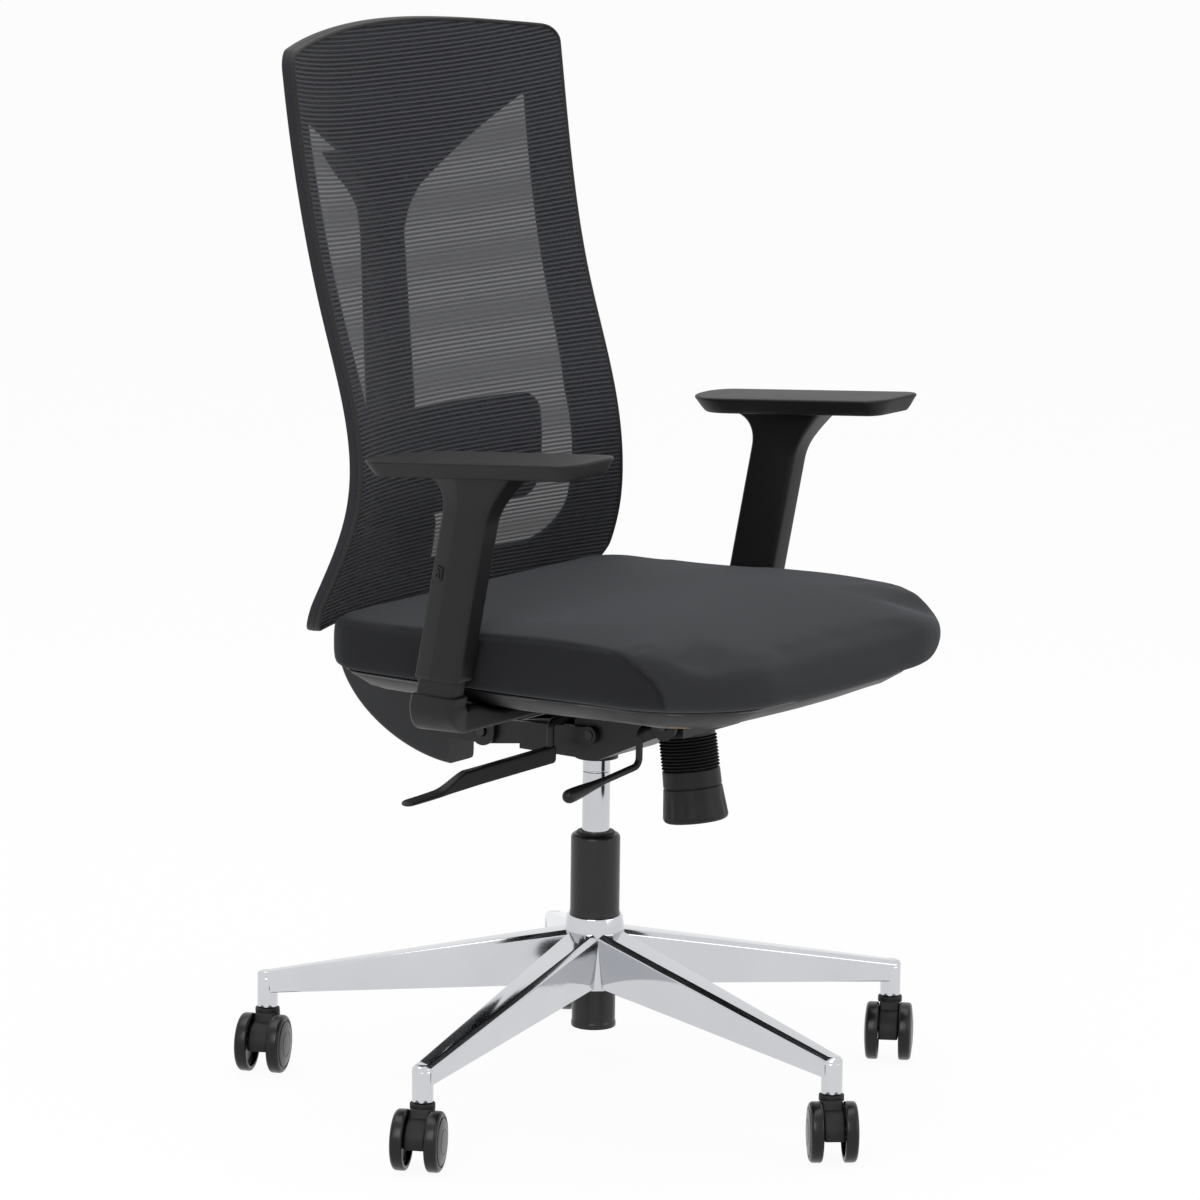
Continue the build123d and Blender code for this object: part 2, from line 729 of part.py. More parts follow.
def seat_steel_plate():
    """Mounting plate with front ears on the seat pivot and rear ears on the link pins."""
    plate = Pos(0, (seat_plate_rear - seat_plate_front) / 2, seat_z) * Box(
        2 * seat_plate_half_width, seat_plate_front + seat_plate_rear, seat_plate,
        align=(Align.CENTER, Align.CENTER, Align.MIN))
    for y, z, play in [(seat_pivot_y, seat_pivot_z, running_gap), (link_pin_y, link_pin_z, link_pin_play)]:
        half = seat_ear_half_width
        ear = side_plate([(y - half, seat_z), (y - half, z), (y + half, z), (y + half, seat_z)],
                         ear_x, ear_x + seat_ear)
        ear += cross_pin(half, y, z, ear_x, ear_x + seat_ear)
        ear -= cross_pin(pivot_pin_radius + play, y, z, ear_x, ear_x + seat_ear)
        for side in both_sides(ear):
            plate += side
    for x, y in plate_bolt_places():
        plate -= bolt_hole(x, y, seat_z, board_z)
    return plate


def seat_board():
    board = extrude(seat_outline(board_inset, board_z), board_thickness)
    for x, y in plate_bolt_places():
        board -= bolt_hole(x, y, board_z, board_z + board_thickness)
    for x, y in arm_bolt_places():
        for side in (-1, 1):
            board -= bolt_hole(side * x, y, board_z, board_z + board_thickness)
    return board


def seat_shell():
    """Moulded tray under the cushion, open round the steel plate."""
    wall = moulded_wall - part_gap
    shell = loft([seat_outline(shell_floor_inset, seat_z), seat_outline(shell_rim_inset, rim_z)])
    shell -= loft([seat_outline(shell_floor_inset + wall, seat_z + wall),
                   seat_outline(shell_rim_inset + wall, rim_z)])
    opening = Pos(0, (seat_plate_rear - seat_plate_front) / 2, seat_z) * Box(
        2 * (seat_plate_half_width + part_gap), seat_plate_front + seat_plate_rear + 2 * part_gap, shell_depth)
    shell -= opening
    for x, y in arm_bolt_places():
        for side in (-1, 1):
            shell -= bolt_hole(side * x, y, seat_z - 1, board_z)
    return shell


def seat_cushion():
    """Foam seat with a waterfall front: a plan outline trimmed by a side outline, over a plug in the tray."""
    low = rim_z + part_gap
    nose_z = low + cushion_nose_height
    body = loft([seat_outline(0, low, cushion_front_draw), seat_outline(0, nose_z)])
    body += extrude(seat_outline(0, nose_z), cushion_crest_height - cushion_nose_height)
    rear = (seat_rear + part_gap, low + cushion_rear_height - cushion_rear_drop)
    tip = (-seat_front, nose_z)
    foot = (-seat_front + cushion_undercut, low)
    roof = Plane.YZ * make_face([
        Spline(rear, (seat_rear / 3, low + cushion_rear_height), (cushion_crest_y, low + cushion_crest_height),
               (cushion_shoulder_y, low + cushion_shoulder_height), tip, tangents=[(-1, 0.1), (0, -1)]),
        Spline(tip, foot, tangents=[(0, -1), (1, -0.3)]),
        Line(foot, (rear[0], low)),
        Line((rear[0], low), rear)])
    body &= extrude(roof, seat_half_width + 1, both=True)
    plug_z = board_z + board_thickness + part_gap
    plug = loft([seat_outline(shell_floor_inset + 2 * moulded_wall, plug_z),
                 seat_outline(cushion_plug_inset, low)])
    return body + plug


def seat_bolts():
    """Bolts up through the steel plate and the arm brackets into the board."""
    shank_top = board_z + board_thickness - moulded_wall
    bolts = [upright_bolt(x, y, seat_z, shank_top) for x, y in plate_bolt_places()]
    for x, y in arm_bolt_places():
        bolts += [upright_bolt(side * x, y, elbow_z, shank_top) for side in (-1, 1)]
    return group(bolts)


# Armrests: the sitter's right arm at -X, and its mirror image
def arm_frame(rise):
    """Plane across the leaning arm post, at a rise along it from the elbow's foot."""
    up = Vector(0, -sin(radians(arm_lean)), cos(radians(arm_lean)))
    foot = Vector(-arm_x, arm_base_y, elbow_z)
    return Plane(origin=foot + up * rise, x_dir=(1, 0, 0), z_dir=up)


def arm_bracket():
    """Arm bracket bolted under the seat, turning up into the stub that the sleeve slides on."""
    elbow = extrude(arm_frame(0) * Rectangle(sleeve_width, sleeve_depth), elbow_height)
    low_edge = elbow.edges().group_by(Axis.Z)[0].sort_by(Axis.X)[0]
    elbow = fillet(low_edge, elbow_round)
    bar = Pos(-bracket_inner_end, arm_base_y, elbow_z) * Box(
        arm_x - bracket_inner_end, 2 * bracket_half_width, elbow_drop - part_gap, align=(Align.MAX, Align.CENTER, Align.MIN))
    stub = extrude(arm_frame(elbow_height) * RectangleRounded(stub_width, stub_depth, stub_edge), stub_length)
    bracket = elbow + bar + stub
    for x, y in arm_bolt_places():
        bracket -= bolt_hole(-x, y, elbow_z, seat_z)
    return bracket


def pad_frame():
    """Plane of the pad's underside, tilted up towards the front."""
    top = arm_frame(elbow_height + sleeve_gap + sleeve_length).origin
    tilt = Plane(origin=top, x_dir=(1, 0, 0), z_dir=(0, sin(radians(pad_tilt)), cos(radians(pad_tilt))))
    return tilt


def button_place():
    return arm_frame(elbow_height + sleeve_gap + button_rise) * Pos(-sleeve_width / 2, button_rearward)


def arm_sleeve():
    """Hollow outer post that slides on the stub and flares out under the pad."""
    start = elbow_height + sleeve_gap
    straight = sleeve_length - sleeve_flare
    post = extrude(arm_frame(start) * RectangleRounded(sleeve_width, sleeve_depth, sleeve_edge_round), straight)
    flare = loft([arm_frame(start + straight) * RectangleRounded(sleeve_width, sleeve_depth, sleeve_edge_round),
                  pad_frame() * RectangleRounded(sleeve_flare_width, sleeve_flare_depth, sleeve_edge_round)])
    cavity = extrude(arm_frame(start) * RectangleRounded(
        stub_width + 2 * part_gap, stub_depth + 2 * part_gap, stub_edge + part_gap),
        stub_length - sleeve_gap + arm_lift_room)
    pocket = button_place() * Box(
        sleeve_width - stub_width, button_width + 2 * part_gap, button_height + 2 * part_gap)
    return post + flare - cavity - pocket


def pad_outline():
    """Plan of the pad: straight sides between quarter rounds, each with its own radius."""
    wide = pad_width / 2
    reach = pad_length / 2
    corners = [(1, -1, pad_corner), (1, 1, pad_inner_corner), (-1, 1, pad_corner), (-1, -1, pad_corner)]
    arcs = []
    for turn, (across, along, radius) in enumerate(corners):
        centre = (across * (wide - radius), along * (reach - radius))
        arcs.append(CenterArc(centre, radius, 90 * turn - 90, 90))
    sides = [Line(first @ 1, second @ 0) for first, second in zip(arcs, arcs[1:] + arcs[:1])]
    return make_face(arcs + sides)


def arm_pad():
    """Soft armrest pad, its inner rear corner swept round for the elbow."""
    pad = extrude(pad_frame() * Pos(0, -pad_forward) * pad_outline(), pad_thickness)
    top_edges = pad.faces().sort_by(Axis.Z)[-1].edges()
    return fillet(top_edges, pad_edge_round)


def arm_button():
    return button_place() * Pos(-button_proud, 0) * Box(
        button_thickness, button_width, button_height, align=(Align.MIN, Align.CENTER, Align.CENTER))


# Backrest
side_curve = Spline(*[(y, seat_z + rise) for y, rise in back_curve])
flank_curve = Spline((back_hip_x, seat_z + back_hip_rise), (back_flare_x, seat_z + back_flare_rise),
                     (back_flank_x, seat_z + back_flank_rise), (back_waist_x, seat_z + back_waist_rise),
                     (back_shoulder_x, seat_z + back_shoulder_rise), tangents=[(-0.1, 1), (0, 1)])


def read_off(curve, z):
    """Place on a rising curve at a height, found by halving; beyond the curve's ends, that of the end."""
    low, high = 0.0, 1.0
    for _ in range(40):
        middle = (low + high) / 2
        if (curve @ middle).Y < z:
            low = middle
        else:
            high = middle
    return (curve @ low).X


def back_edge_y(z):
    """Front-to-back place of the backrest's edge at a height."""
    return read_off(side_curve, z)


def back_slab(offset, thickness, low, high):
    """Dished slab behind the side curve, lofted through level arcs, wider than the backrest."""
    sections = []
    wide = back_hip_x + frame_thickness
    for level in range(back_levels):
        z = low + (high - low) * level / (back_levels - 1)
        half_width = read_off(flank_curve, z)
        radius = (half_width**2 + back_dish**2) / (2 * back_dish)
        centre = back_edge_y(z) + back_dish - radius
        front = radius + offset
        rear = front + thickness
        turn = degrees(asin(wide / front))
        near = CenterArc((0, centre), front, 90 - turn, 2 * turn)
        far = CenterArc((0, centre), rear, 90 - turn, 2 * turn)
        sections.append(Pos(0, 0, z) * make_face([near, far, Line(near @ 0, far @ 0), Line(near @ 1, far @ 1)]))
    return loft(sections)


def back_outline():
    """Front outline of the backrest: slim waist, wide foot, crowned top with round shoulders."""
    right = [
        Line((0, seat_z + back_foot_rise), (back_foot_x - back_foot_corner, seat_z + back_foot_rise)),
        Spline((back_foot_x - back_foot_corner, seat_z + back_foot_rise), (back_hip_x, seat_z + back_hip_rise),
               tangents=[(1, 0), (-0.1, 1)]),
        flank_curve,
        Spline((back_shoulder_x, seat_z + back_shoulder_rise), (back_top_corner_x, seat_z + back_top_corner_rise),
               tangents=[(0, 1), (-1, 0.12)]),
        Spline((back_top_corner_x, seat_z + back_top_corner_rise), (0, seat_z + back_top_rise),
               tangents=[(-1, 0.12), (-1, 0)])]
    return make_face(right + [mirror(edge, about=Plane.YZ) for edge in right])


def back_window():
    """The frame's opening: its top edge runs down to the spine as a shallow V."""
    foot = seat_z + window_foot_rise
    waist = seat_z + lumbar_bottom_rise + lumbar_height
    points = [(spine_half_width, seat_z + yoke_tip_rise), (window_top_x, seat_z + window_top_rise),
              (window_waist_x, waist), (window_foot_x, foot)]
    left = [(-x, z) for x, z in reversed(points)]
    face = make_face(Polyline(*(points + left), close=True))
    return fillet(face.vertices().filter_by(lambda v: v.Y < foot + 1), window_corner)


def through(face):
    """A front outline carried right through the backrest."""
    return extrude(Plane.XZ * face, 2 * spine_heel_y, both=True)


def back_slab_span():
    return seat_z + back_curve[0][1] - 0.5, seat_z + back_curve[-1][1] - 0.5


def back_mesh():
    low, high = back_slab_span()
    return back_slab(0, mesh_thickness, low, high) & through(back_outline())


def back_frame():
    """Perimeter frame with the top panel that narrows to the spine."""
    low, high = back_slab_span()
    window = through(back_window())
    frame = (back_slab(frame_offset, frame_thickness, low, high) & through(back_outline())) - window
    for z in yoke_bolt_heights():
        frame -= level_bolt(0, z, back_edge_y(z) + back_dish, spine_rear_y, bolt_radius + running_gap, 0)
    return frame


def back_spine():
    foot = seat_z - spine_foot_drop
    top = seat_z + spine_top_rise
    behind = back_dish + frame_offset + frame_thickness + part_gap
    joint = seat_z + yoke_tip_rise
    knee = seat_z + lumbar_bottom_rise - lumbar_travel - spine_half_width
    shelf = foot + spine_foot_height
    heel_z = seat_z
    outline = [
        Line((carrier_rear, foot), (carrier_rear, shelf)),
        Spline((carrier_rear, shelf), (spine_front_y, heel_z), tangents=[(1, 0.05), (0.1, 1)]),
        Line((spine_front_y, heel_z), (spine_front_y, joint - spine_bend_drop)),
        Line((spine_front_y, joint - spine_bend_drop), (spine_neck_y, joint - spine_neck_drop)),
        Line((spine_neck_y, joint - spine_neck_drop), (back_edge_y(joint) + behind, joint)),
        Spline(*[(back_edge_y(z) + behind, z) for z in (joint, *yoke_bolt_heights(), top)]),
        Line((back_edge_y(top) + behind, top), (spine_rear_y, top)),
        Line((spine_rear_y, top), (spine_rear_y, knee)),
        Spline((spine_rear_y, knee), (spine_heel_y, heel_z), (carrier_rear, foot),
               tangents=[(0.02, -1), (-1, -0.05)])]
    spine = extrude(Plane.YZ * make_face(outline), spine_half_width, both=True)
    slot_low = seat_z + lumbar_middle_rise() - lumbar_tongue_height / 2 - lumbar_travel - part_gap
    slot_height = lumbar_tongue_height + 2 * lumbar_travel + 2 * part_gap
    spine -= Pos(0, spine_front_y, slot_low) * Box(
        lumbar_tongue_width + 2 * part_gap, 2 * lumbar_slot_depth, slot_height,
        align=(Align.CENTER, Align.CENTER, Align.MIN))
    for x, z in spine_bolt_places():
        spine -= level_bolt(x, z, carrier_rear, carrier_rear + carrier_block_depth, bolt_radius + running_gap, 0)
    for z in yoke_bolt_heights():
        spine -= level_bolt(0, z, back_edge_y(joint), spine_rear_y, bolt_radius + running_gap, 0)
        spine -= level_bolt(0, z, yoke_head_y(z), spine_rear_y, bolt_head_radius + running_gap, 0)
    return spine


def lumbar_middle_rise():
    return lumbar_bottom_rise + lumbar_height / 2


def spine_bolt_places():
    z = housing_z + carrier_floor_rise + carrier_block_height / 2
    return [(side * spine_half_width / 2, z) for side in (-1, 1)]


def yoke_bolt_heights():
    """Heights of the two screws that hold the top panel on the spine."""
    low = seat_z + yoke_tip_rise
    high = seat_z + spine_top_rise
    return [low + (high - low) * share for share in (0.3, 0.75)]


def yoke_head_y(z):
    return back_edge_y(z) + back_dish + frame_offset + frame_thickness + 2 * bolt_head_height


def level_bolt(x, z, start, end, radius, head):
    """A bolt lying front to back, or a hole for one; a positive head is at its start, a negative one at its end."""
    bolt = extrude(Plane.XZ.offset(-end) * Pos(x, z) * Circle(radius), end - start)
    if head > 0:
        bolt += extrude(Plane.XZ.offset(-start) * Pos(x, z) * Circle(bolt_head_radius), head)
    if head < 0:
        bolt += extrude(Plane.XZ.offset(-end) * Pos(x, z) * Circle(bolt_head_radius), head)
    return bolt


def back_bolts():
    """Bolts through the carrier block into the spine, and screws through the spine into the top panel."""
    front = carrier_rear - carrier_block_depth
    bolts = [level_bolt(x, z, front, carrier_rear + carrier_block_depth - part_gap, bolt_radius, bolt_head_height)
             for x, z in spine_bolt_places()]
    for z in yoke_bolt_heights():
        panel = back_edge_y(z) + back_dish + frame_offset + part_gap
        bolts.append(level_bolt(0, z, panel, yoke_head_y(z) + part_gap, bolt_radius, -bolt_head_height))
    return group(bolts)


def lumbar_pad():
    """Lumbar plate behind the mesh, with a tongue that slides in the spine's slot."""
    middle = seat_z + lumbar_middle_rise()
    half = lumbar_height / 2
    slab = back_slab(lumbar_behind_mesh, lumbar_thickness, middle - half - 1, middle + half + 1)
    plate = slab & through(Pos(0, middle) * RectangleRounded(2 * lumbar_half_width, lumbar_height, lumbar_corner))
    front = back_edge_y(middle) + back_dish + lumbar_behind_mesh + lumbar_thickness / 2
    rear = spine_front_y + lumbar_slot_depth - part_gap
    tongue = Pos(0, front, middle) * Box(
        lumbar_tongue_width, rear - front, lumbar_tongue_height, align=(Align.CENTER, Align.MIN, Align.CENTER))
    return plate + tongue


def build():
    pieces = {
        "five_star_base": five_star_base(),
        "column_tube": column_tube(),
        "guide_bush": guide_bush(),
        "thrust_bearing": thrust_bearing(),
        "piston_rod": piston_rod(),
        "rod_clip": rod_clip(),
        "gas_cylinder": gas_cylinder(),
        "release_pin": release_pin(),
        "mechanism_housing": mechanism_housing(),
        "pivot_pins": pivot_pins(),
        "spring_bellows": spring_bellows(),
        "tension_spring": tension_spring(),
        "spring_seat": spring_seat(),
        "tension_spindle": tension_spindle(),
        "tension_knob": tension_knob(),
        "lift_lever_rod": lift_lever_rod(),
        "lift_lever_paddle": lift_lever_paddle(),
        "lock_lever_rod": lock_lever_rod(),
        "lock_lever_grip": lock_lever_grip(),
        "back_carrier": back_carrier(),
        "link_pins": link_pins(),
        "seat_plate": seat_steel_plate(),
        "seat_board": seat_board(),
        "seat_shell": seat_shell(),
        "seat_cushion": seat_cushion(),
        "seat_bolts": seat_bolts(),
        "back_spine": back_spine(),
        "back_frame": back_frame(),
        "back_mesh": back_mesh(),
        "lumbar_pad": lumbar_pad(),
        "back_bolts": back_bolts(),
    }
    for name, piece in [("arm_bracket", arm_bracket()), ("arm_sleeve", arm_sleeve()),
                        ("arm_pad", arm_pad()), ("arm_button", arm_button())]:
        right, left = both_sides(piece)
        pieces[name + "_right"] = right
        pieces[name + "_left"] = left
    for index in range(caster_count):
        name = f"caster_{index + 1}"
        pieces[name + "_hood"] = place_caster(caster_hood(), index)
        pieces[name + "_pins"] = place_caster(caster_pins(), index)
        for label, side in (("a", 1), ("b", -1)):
            pieces[f"{name}_wheel_{label}"] = place_caster(place_wheel(caster_wheel(), side), index)
    return pieces


os.makedirs("parts", exist_ok=True)
for name, piece in build().items():
    export_step(piece, f"parts/{name}.step")
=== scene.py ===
import json
import bpy
import bmesh
import numpy as np
from mathutils import Matrix

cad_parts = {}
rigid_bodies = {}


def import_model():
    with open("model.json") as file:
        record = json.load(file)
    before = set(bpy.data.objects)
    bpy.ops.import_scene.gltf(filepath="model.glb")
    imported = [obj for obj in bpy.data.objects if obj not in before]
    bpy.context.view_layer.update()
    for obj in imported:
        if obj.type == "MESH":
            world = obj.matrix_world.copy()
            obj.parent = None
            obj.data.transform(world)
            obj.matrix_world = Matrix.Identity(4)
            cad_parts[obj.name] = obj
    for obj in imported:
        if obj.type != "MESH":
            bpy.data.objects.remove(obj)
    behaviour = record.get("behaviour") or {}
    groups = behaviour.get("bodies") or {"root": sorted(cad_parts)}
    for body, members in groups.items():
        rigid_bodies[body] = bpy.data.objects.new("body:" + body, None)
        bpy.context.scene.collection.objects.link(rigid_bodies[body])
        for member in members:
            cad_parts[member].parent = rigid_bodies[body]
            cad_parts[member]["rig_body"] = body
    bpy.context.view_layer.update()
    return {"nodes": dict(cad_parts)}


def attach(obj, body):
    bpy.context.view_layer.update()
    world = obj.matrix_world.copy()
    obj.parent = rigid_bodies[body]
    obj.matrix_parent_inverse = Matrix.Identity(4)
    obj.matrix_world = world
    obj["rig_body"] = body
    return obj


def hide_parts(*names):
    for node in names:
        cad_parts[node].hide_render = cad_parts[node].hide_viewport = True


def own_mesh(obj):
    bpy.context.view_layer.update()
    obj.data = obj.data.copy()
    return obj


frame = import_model()
scene = bpy.context.scene
nodes = frame["nodes"]
mm = 0.001  # shapes are worked out in millimetres, as in the part's source
print("frame loaded:", len(nodes), "nodes")


# a piece's dictionary, whose values also read as attributes
class Values(dict):
    __getattr__ = dict.__getitem__


# small maths: unit vectors, straight mix, smooth step, bell curve
def unit(v):
    return v / np.maximum(np.linalg.norm(v, axis=-1, keepdims=True), 1e-9)


def mix(a, b, t):
    return a + (b - a) * t


def ease(t):
    t = np.clip(t, 0, 1)
    return t * t * (3 - 2 * t)


def bell(t, width):
    return np.exp(-(t / width) ** 2)


# cubic spline through values v at rising places t; end slopes given, or left free
def splineThrough(t, v, slopes=None):
    t, v = np.asarray(t, float), np.asarray(v, float)
    h = np.diff(t)
    d = np.diff(v) / h
    n = len(t)
    left, right = np.zeros((n, n)), np.zeros(n)
    i = np.arange(1, n - 1)
    left[i, i - 1], left[i, i], left[i, i + 1] = h[i], 2 * (h[i - 1] + h[i]), h[i - 1]
    right[i] = 3 * (h[i] * d[i - 1] + h[i - 1] * d[i])
    if slopes:
        left[0, 0] = left[-1, -1] = 1
        right[0], right[-1] = slopes
    else:
        left[0, :2], left[-1, -2:] = (2, 1), (1, 2)
        right[0], right[-1] = 3 * d[0], 3 * d[-1]
    m = np.linalg.solve(left, right)

    def at(x):
        x = np.clip(x, t[0], t[-1])
        k = np.clip(np.searchsorted(t, x) - 1, 0, n - 2)
        u = (x - t[k]) / h[k]
        return ((2 * u**3 - 3 * u**2 + 1) * v[k] + (u**3 - 2 * u**2 + u) * h[k] * m[k]
                + (3 * u**2 - 2 * u**3) * v[k + 1] + (u**3 - u**2) * h[k] * m[k + 1])
    return at


# Hermite run from a to b that leaves along ta and arrives along tb
def hermite(a, b, ta, tb, count, pull=1.0):
    a, b = np.asarray(a, float), np.asarray(b, float)
    u = np.linspace(0, 1, count)[:, None]
    span = np.linalg.norm(b - a) * pull
    ta, tb = unit(np.asarray(ta, float)) * span, unit(np.asarray(tb, float)) * span
    return ((2 * u**3 - 3 * u**2 + 1) * a + (u**3 - 2 * u**2 + u) * ta
            + (3 * u**2 - 2 * u**3) * b + (u**3 - u**2) * tb)


# points spread evenly along a line by its length
def evenly(line, count, closed=True):
    path = np.concatenate([line, line[:1]]) if closed else np.asarray(line, float)
    run = np.r_[0, np.cumsum(np.linalg.norm(np.diff(path, axis=0), axis=1))]
    at = np.linspace(0, run[-1], count, endpoint=not closed)
    return np.stack([np.interp(at, run, path[:, k]) for k in range(path.shape[1])], 1)


# polygon whose corners give way to arcs: centre on the corner's bisector, start at radius / tan(half angle)
def roundedLoop(corners, radii, perArc=6, closed=True):
    corners = np.asarray(corners, float)
    radii = np.broadcast_to(np.asarray(radii, float), corners.shape[:-1])
    before = unit(np.roll(corners, 1, -2) - corners)
    after = unit(np.roll(corners, -1, -2) - corners)
    half = np.arccos(np.clip((before * after).sum(-1), -0.99999, 0.99999)) / 2
    centre = corners + unit(before + after) * (radii / np.sin(half))[..., None]
    start = corners + before * (radii / np.tan(half))[..., None] - centre
    turn = (np.linspace(0, 1, perArc + 1) * (np.pi - 2 * half)[..., None])[..., None]
    onward = (-before * radii[..., None])[..., None, :]
    arcs = centre[..., None, :] + start[..., None, :] * np.cos(turn) + onward * np.sin(turn)
    if not closed:
        arcs[..., 0, :, :] = corners[..., :1, :]
        arcs[..., -1, :, :] = corners[..., -1:, :]
    return arcs.reshape(*corners.shape[:-2], -1, corners.shape[-1])


# a counterclockwise loop drawn in along its own normals
def inset(loop, depth):
    run = unit(np.roll(loop, -1, 0) - np.roll(loop, 1, 0))
    return loop + np.stack([-run[:, 1], run[:, 0]], 1) * depth


# surfaces
# turned surface: each (radius, height) of the profile goes round the Z axis
def turned(profile, around=72):
    a = np.linspace(0, 2 * np.pi, around, endpoint=False)
    r, z = np.asarray(profile, float).T
    return np.stack([r[:, None] * np.cos(a), r[:, None] * np.sin(a), np.repeat(z[:, None], around, 1)], -1)


# a flat loop taken to a height, one for all its points or one each
def raised(loop, z):
    return np.c_[loop, np.broadcast_to(z, len(loop))]


# stacked loops: one plan loop at each (inset, height), as a moulding with rounded edges
def stacked(loop, layers):
    return np.stack([raised(inset(loop, d), h) for d, h in layers])


# profile carried along a path: its two coordinates lie on the side direction and on the path's normal
def carried(path, section, side):
    along = unit(np.gradient(path, axis=0))
    side = np.broadcast_to(np.asarray(side, float), path.shape)
    side = unit(side - (side * along).sum(-1, keepdims=True) * along)
    normal = np.cross(along, side)
    section = np.broadcast_to(section, (len(path),) + np.shape(section)[-2:])
    return path[:, None] + section[..., :1] * side[:, None] + section[..., 1:] * normal[:, None]


# local coordinates laid on three axes at an origin
def placed(points, origin, axes):
    return points @ np.asarray(axes, float) + np.asarray(origin, float)


def turnedAbout(points, degrees):
    a = np.radians(degrees)
    return points @ np.array([[np.cos(a), np.sin(a), 0], [-np.sin(a), np.cos(a), 0], [0, 0, 1.0]])


# quads between neighbouring points of a grid, wrapped round where it is closed
def gridFaces(rows, cols, closeRows, closeCols):
    r, c = np.meshgrid(np.arange(rows - (not closeRows)), np.arange(cols - (not closeCols)), indexing="ij")
    r2, c2 = (r + 1) % rows, (c + 1) % cols
    return np.stack([r * cols + c, r * cols + c2, r2 * cols + c2, r2 * cols + c], -1).reshape(-1, 4)


# one mesh from several grids; each grid is (points, how it closes): r rows, c columns, e end caps;
# the piece rides on the body of the node that it stands for, or on a body given by name
def makePiece(name, grids, finish, stands=(), sharp=40, merge=True, attributes=None, body=None):
    verts, faces, first = [], [], 0
    for points, closes in grids:
        rows, cols = points.shape[:2]
        verts.append(points.reshape(-1, 3))
        faces += (gridFaces(rows, cols, "r" in closes, "c" in closes) + first).tolist()
        if "e" in closes:
            end = np.arange(cols) + first
            faces += [end[::-1].tolist(), (end + (rows - 1) * cols).tolist()]
        first += rows * cols
    mesh = bpy.data.meshes.new(name)
    mesh.from_pydata(np.concatenate(verts) * mm, [], faces)
    mesh.validate()
    work = bmesh.new()
    work.from_mesh(mesh)
    if merge:
        bmesh.ops.remove_doubles(work, verts=work.verts, dist=2e-6)
        bmesh.ops.dissolve_degenerate(work, edges=work.edges, dist=1e-6)
    bmesh.ops.recalc_face_normals(work, faces=work.faces)
    work.to_mesh(mesh)
    work.free()
    mesh.shade_smooth()
    if sharp:
        mesh.set_sharp_from_angle(angle=np.radians(sharp))
    for key, values in (attributes or {}).items():
        mesh.attributes.new(key, "FLOAT", "POINT").data.foreach_set("value", np.asarray(values, np.float32).ravel())
    piece = bpy.data.objects.new(name, mesh)
    scene.collection.objects.link(piece)
    mesh.materials.append(finish)
    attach(piece, body or nodes[stands[0]]["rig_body"])
    if stands:
        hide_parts(*stands)
    return piece


# a mesh's points in millimetres
def coordsOf(mesh):
    data = np.empty(len(mesh.vertices) * 3, np.float32)
    mesh.vertices.foreach_get("co", data)
    return data.reshape(-1, 3).astype(float) / mm


# shader maths: a wrapped socket whose operators add Math nodes
class Sock:
    def __init__(self, tree, link):
        self.tree, self.link = tree, link

    def node(self, kind, settings=None, out=0, **values):
        made = self.tree.nodes.new(kind)
        for key, value in (settings or {}).items():
            if key == "stops":
                ramp = made.color_ramp
                ramp.elements[0].position, ramp.elements[0].color = value[0][0], (*value[0][1], 1)
                ramp.elements[1].position, ramp.elements[1].color = value[-1][0], (*value[-1][1], 1)
                for place, colour in value[1:-1]:
                    ramp.elements.new(place).color = (*colour, 1)
            else:
                setattr(made, key, value)
        for key, value in values.items():
            place = int(key[1:]) if key[0] == "i" and key[1:].isdigit() else key.replace("_", " ")
            if isinstance(value, Sock):
                self.tree.links.new(value.link, made.inputs[place])
            elif value is not None:
                made.inputs[place].default_value = value
        return Sock(self.tree, made.outputs[out])

    def maths(self, operation, a, b=None, clamp=False):
        return self.node("ShaderNodeMath", {"operation": operation, "use_clamp": clamp}, i0=a, i1=b)

    def __add__(self, o): return self.maths("ADD", self, o)
    def __radd__(self, o): return self.maths("ADD", o, self)
    def __sub__(self, o): return self.maths("SUBTRACT", self, o)
    def __rsub__(self, o): return self.maths("SUBTRACT", o, self)
    def __mul__(self, o): return self.maths("MULTIPLY", self, o)
    def __rmul__(self, o): return self.maths("MULTIPLY", o, self)

    def clamped(self): return self.maths("ADD", self, 0.0, True)
    def sine(self): return self.maths("SINE", self)

    def noise(self, scale, detail=3.0, rough=0.55, at=None):
        return self.node("ShaderNodeTexNoise", Vector=at or self, Scale=scale, Detail=detail, Roughness=rough)

    def blend(self, a, b):  # colours a to b by this value
        return self.node("ShaderNodeMix", {"data_type": "RGBA"}, 2, i0=self,
                         i6=a if isinstance(a, Sock) else (*a, 1), i7=b if isinstance(b, Sock) else (*b, 1))

    def bump(self, depth, strength=1.0):  # height in metres times depth
        return self.node("ShaderNodeBump", Height=self, Distance=depth, Strength=strength)


fullTurn = 6.28318


# a finish: build(place) gives the varying sockets, fixed values go straight on the shader
def makeFinish(name, build, **fixed):
    made = bpy.data.materials.new(name)
    made.use_nodes = True
    tree = made.node_tree
    shader = tree.nodes["Principled BSDF"]
    for key, value in fixed.items():
        shader.inputs[key.replace("_", " ")].default_value = value
    place = Sock(tree, tree.nodes.new("ShaderNodeTexCoord").outputs["Object"])
    for key, value in build(place).items():
        tree.links.new(value.link, shader.inputs[key.replace("_", " ")])
    return made


def attributeOf(place, name):
    return place.node("ShaderNodeAttribute", {"attribute_name": name}, 2)


def splitOf(place):
    parts = place.node("ShaderNodeSeparateXYZ", Vector=place).link.node
    return [Sock(place.tree, parts.outputs[k]) for k in range(3)]


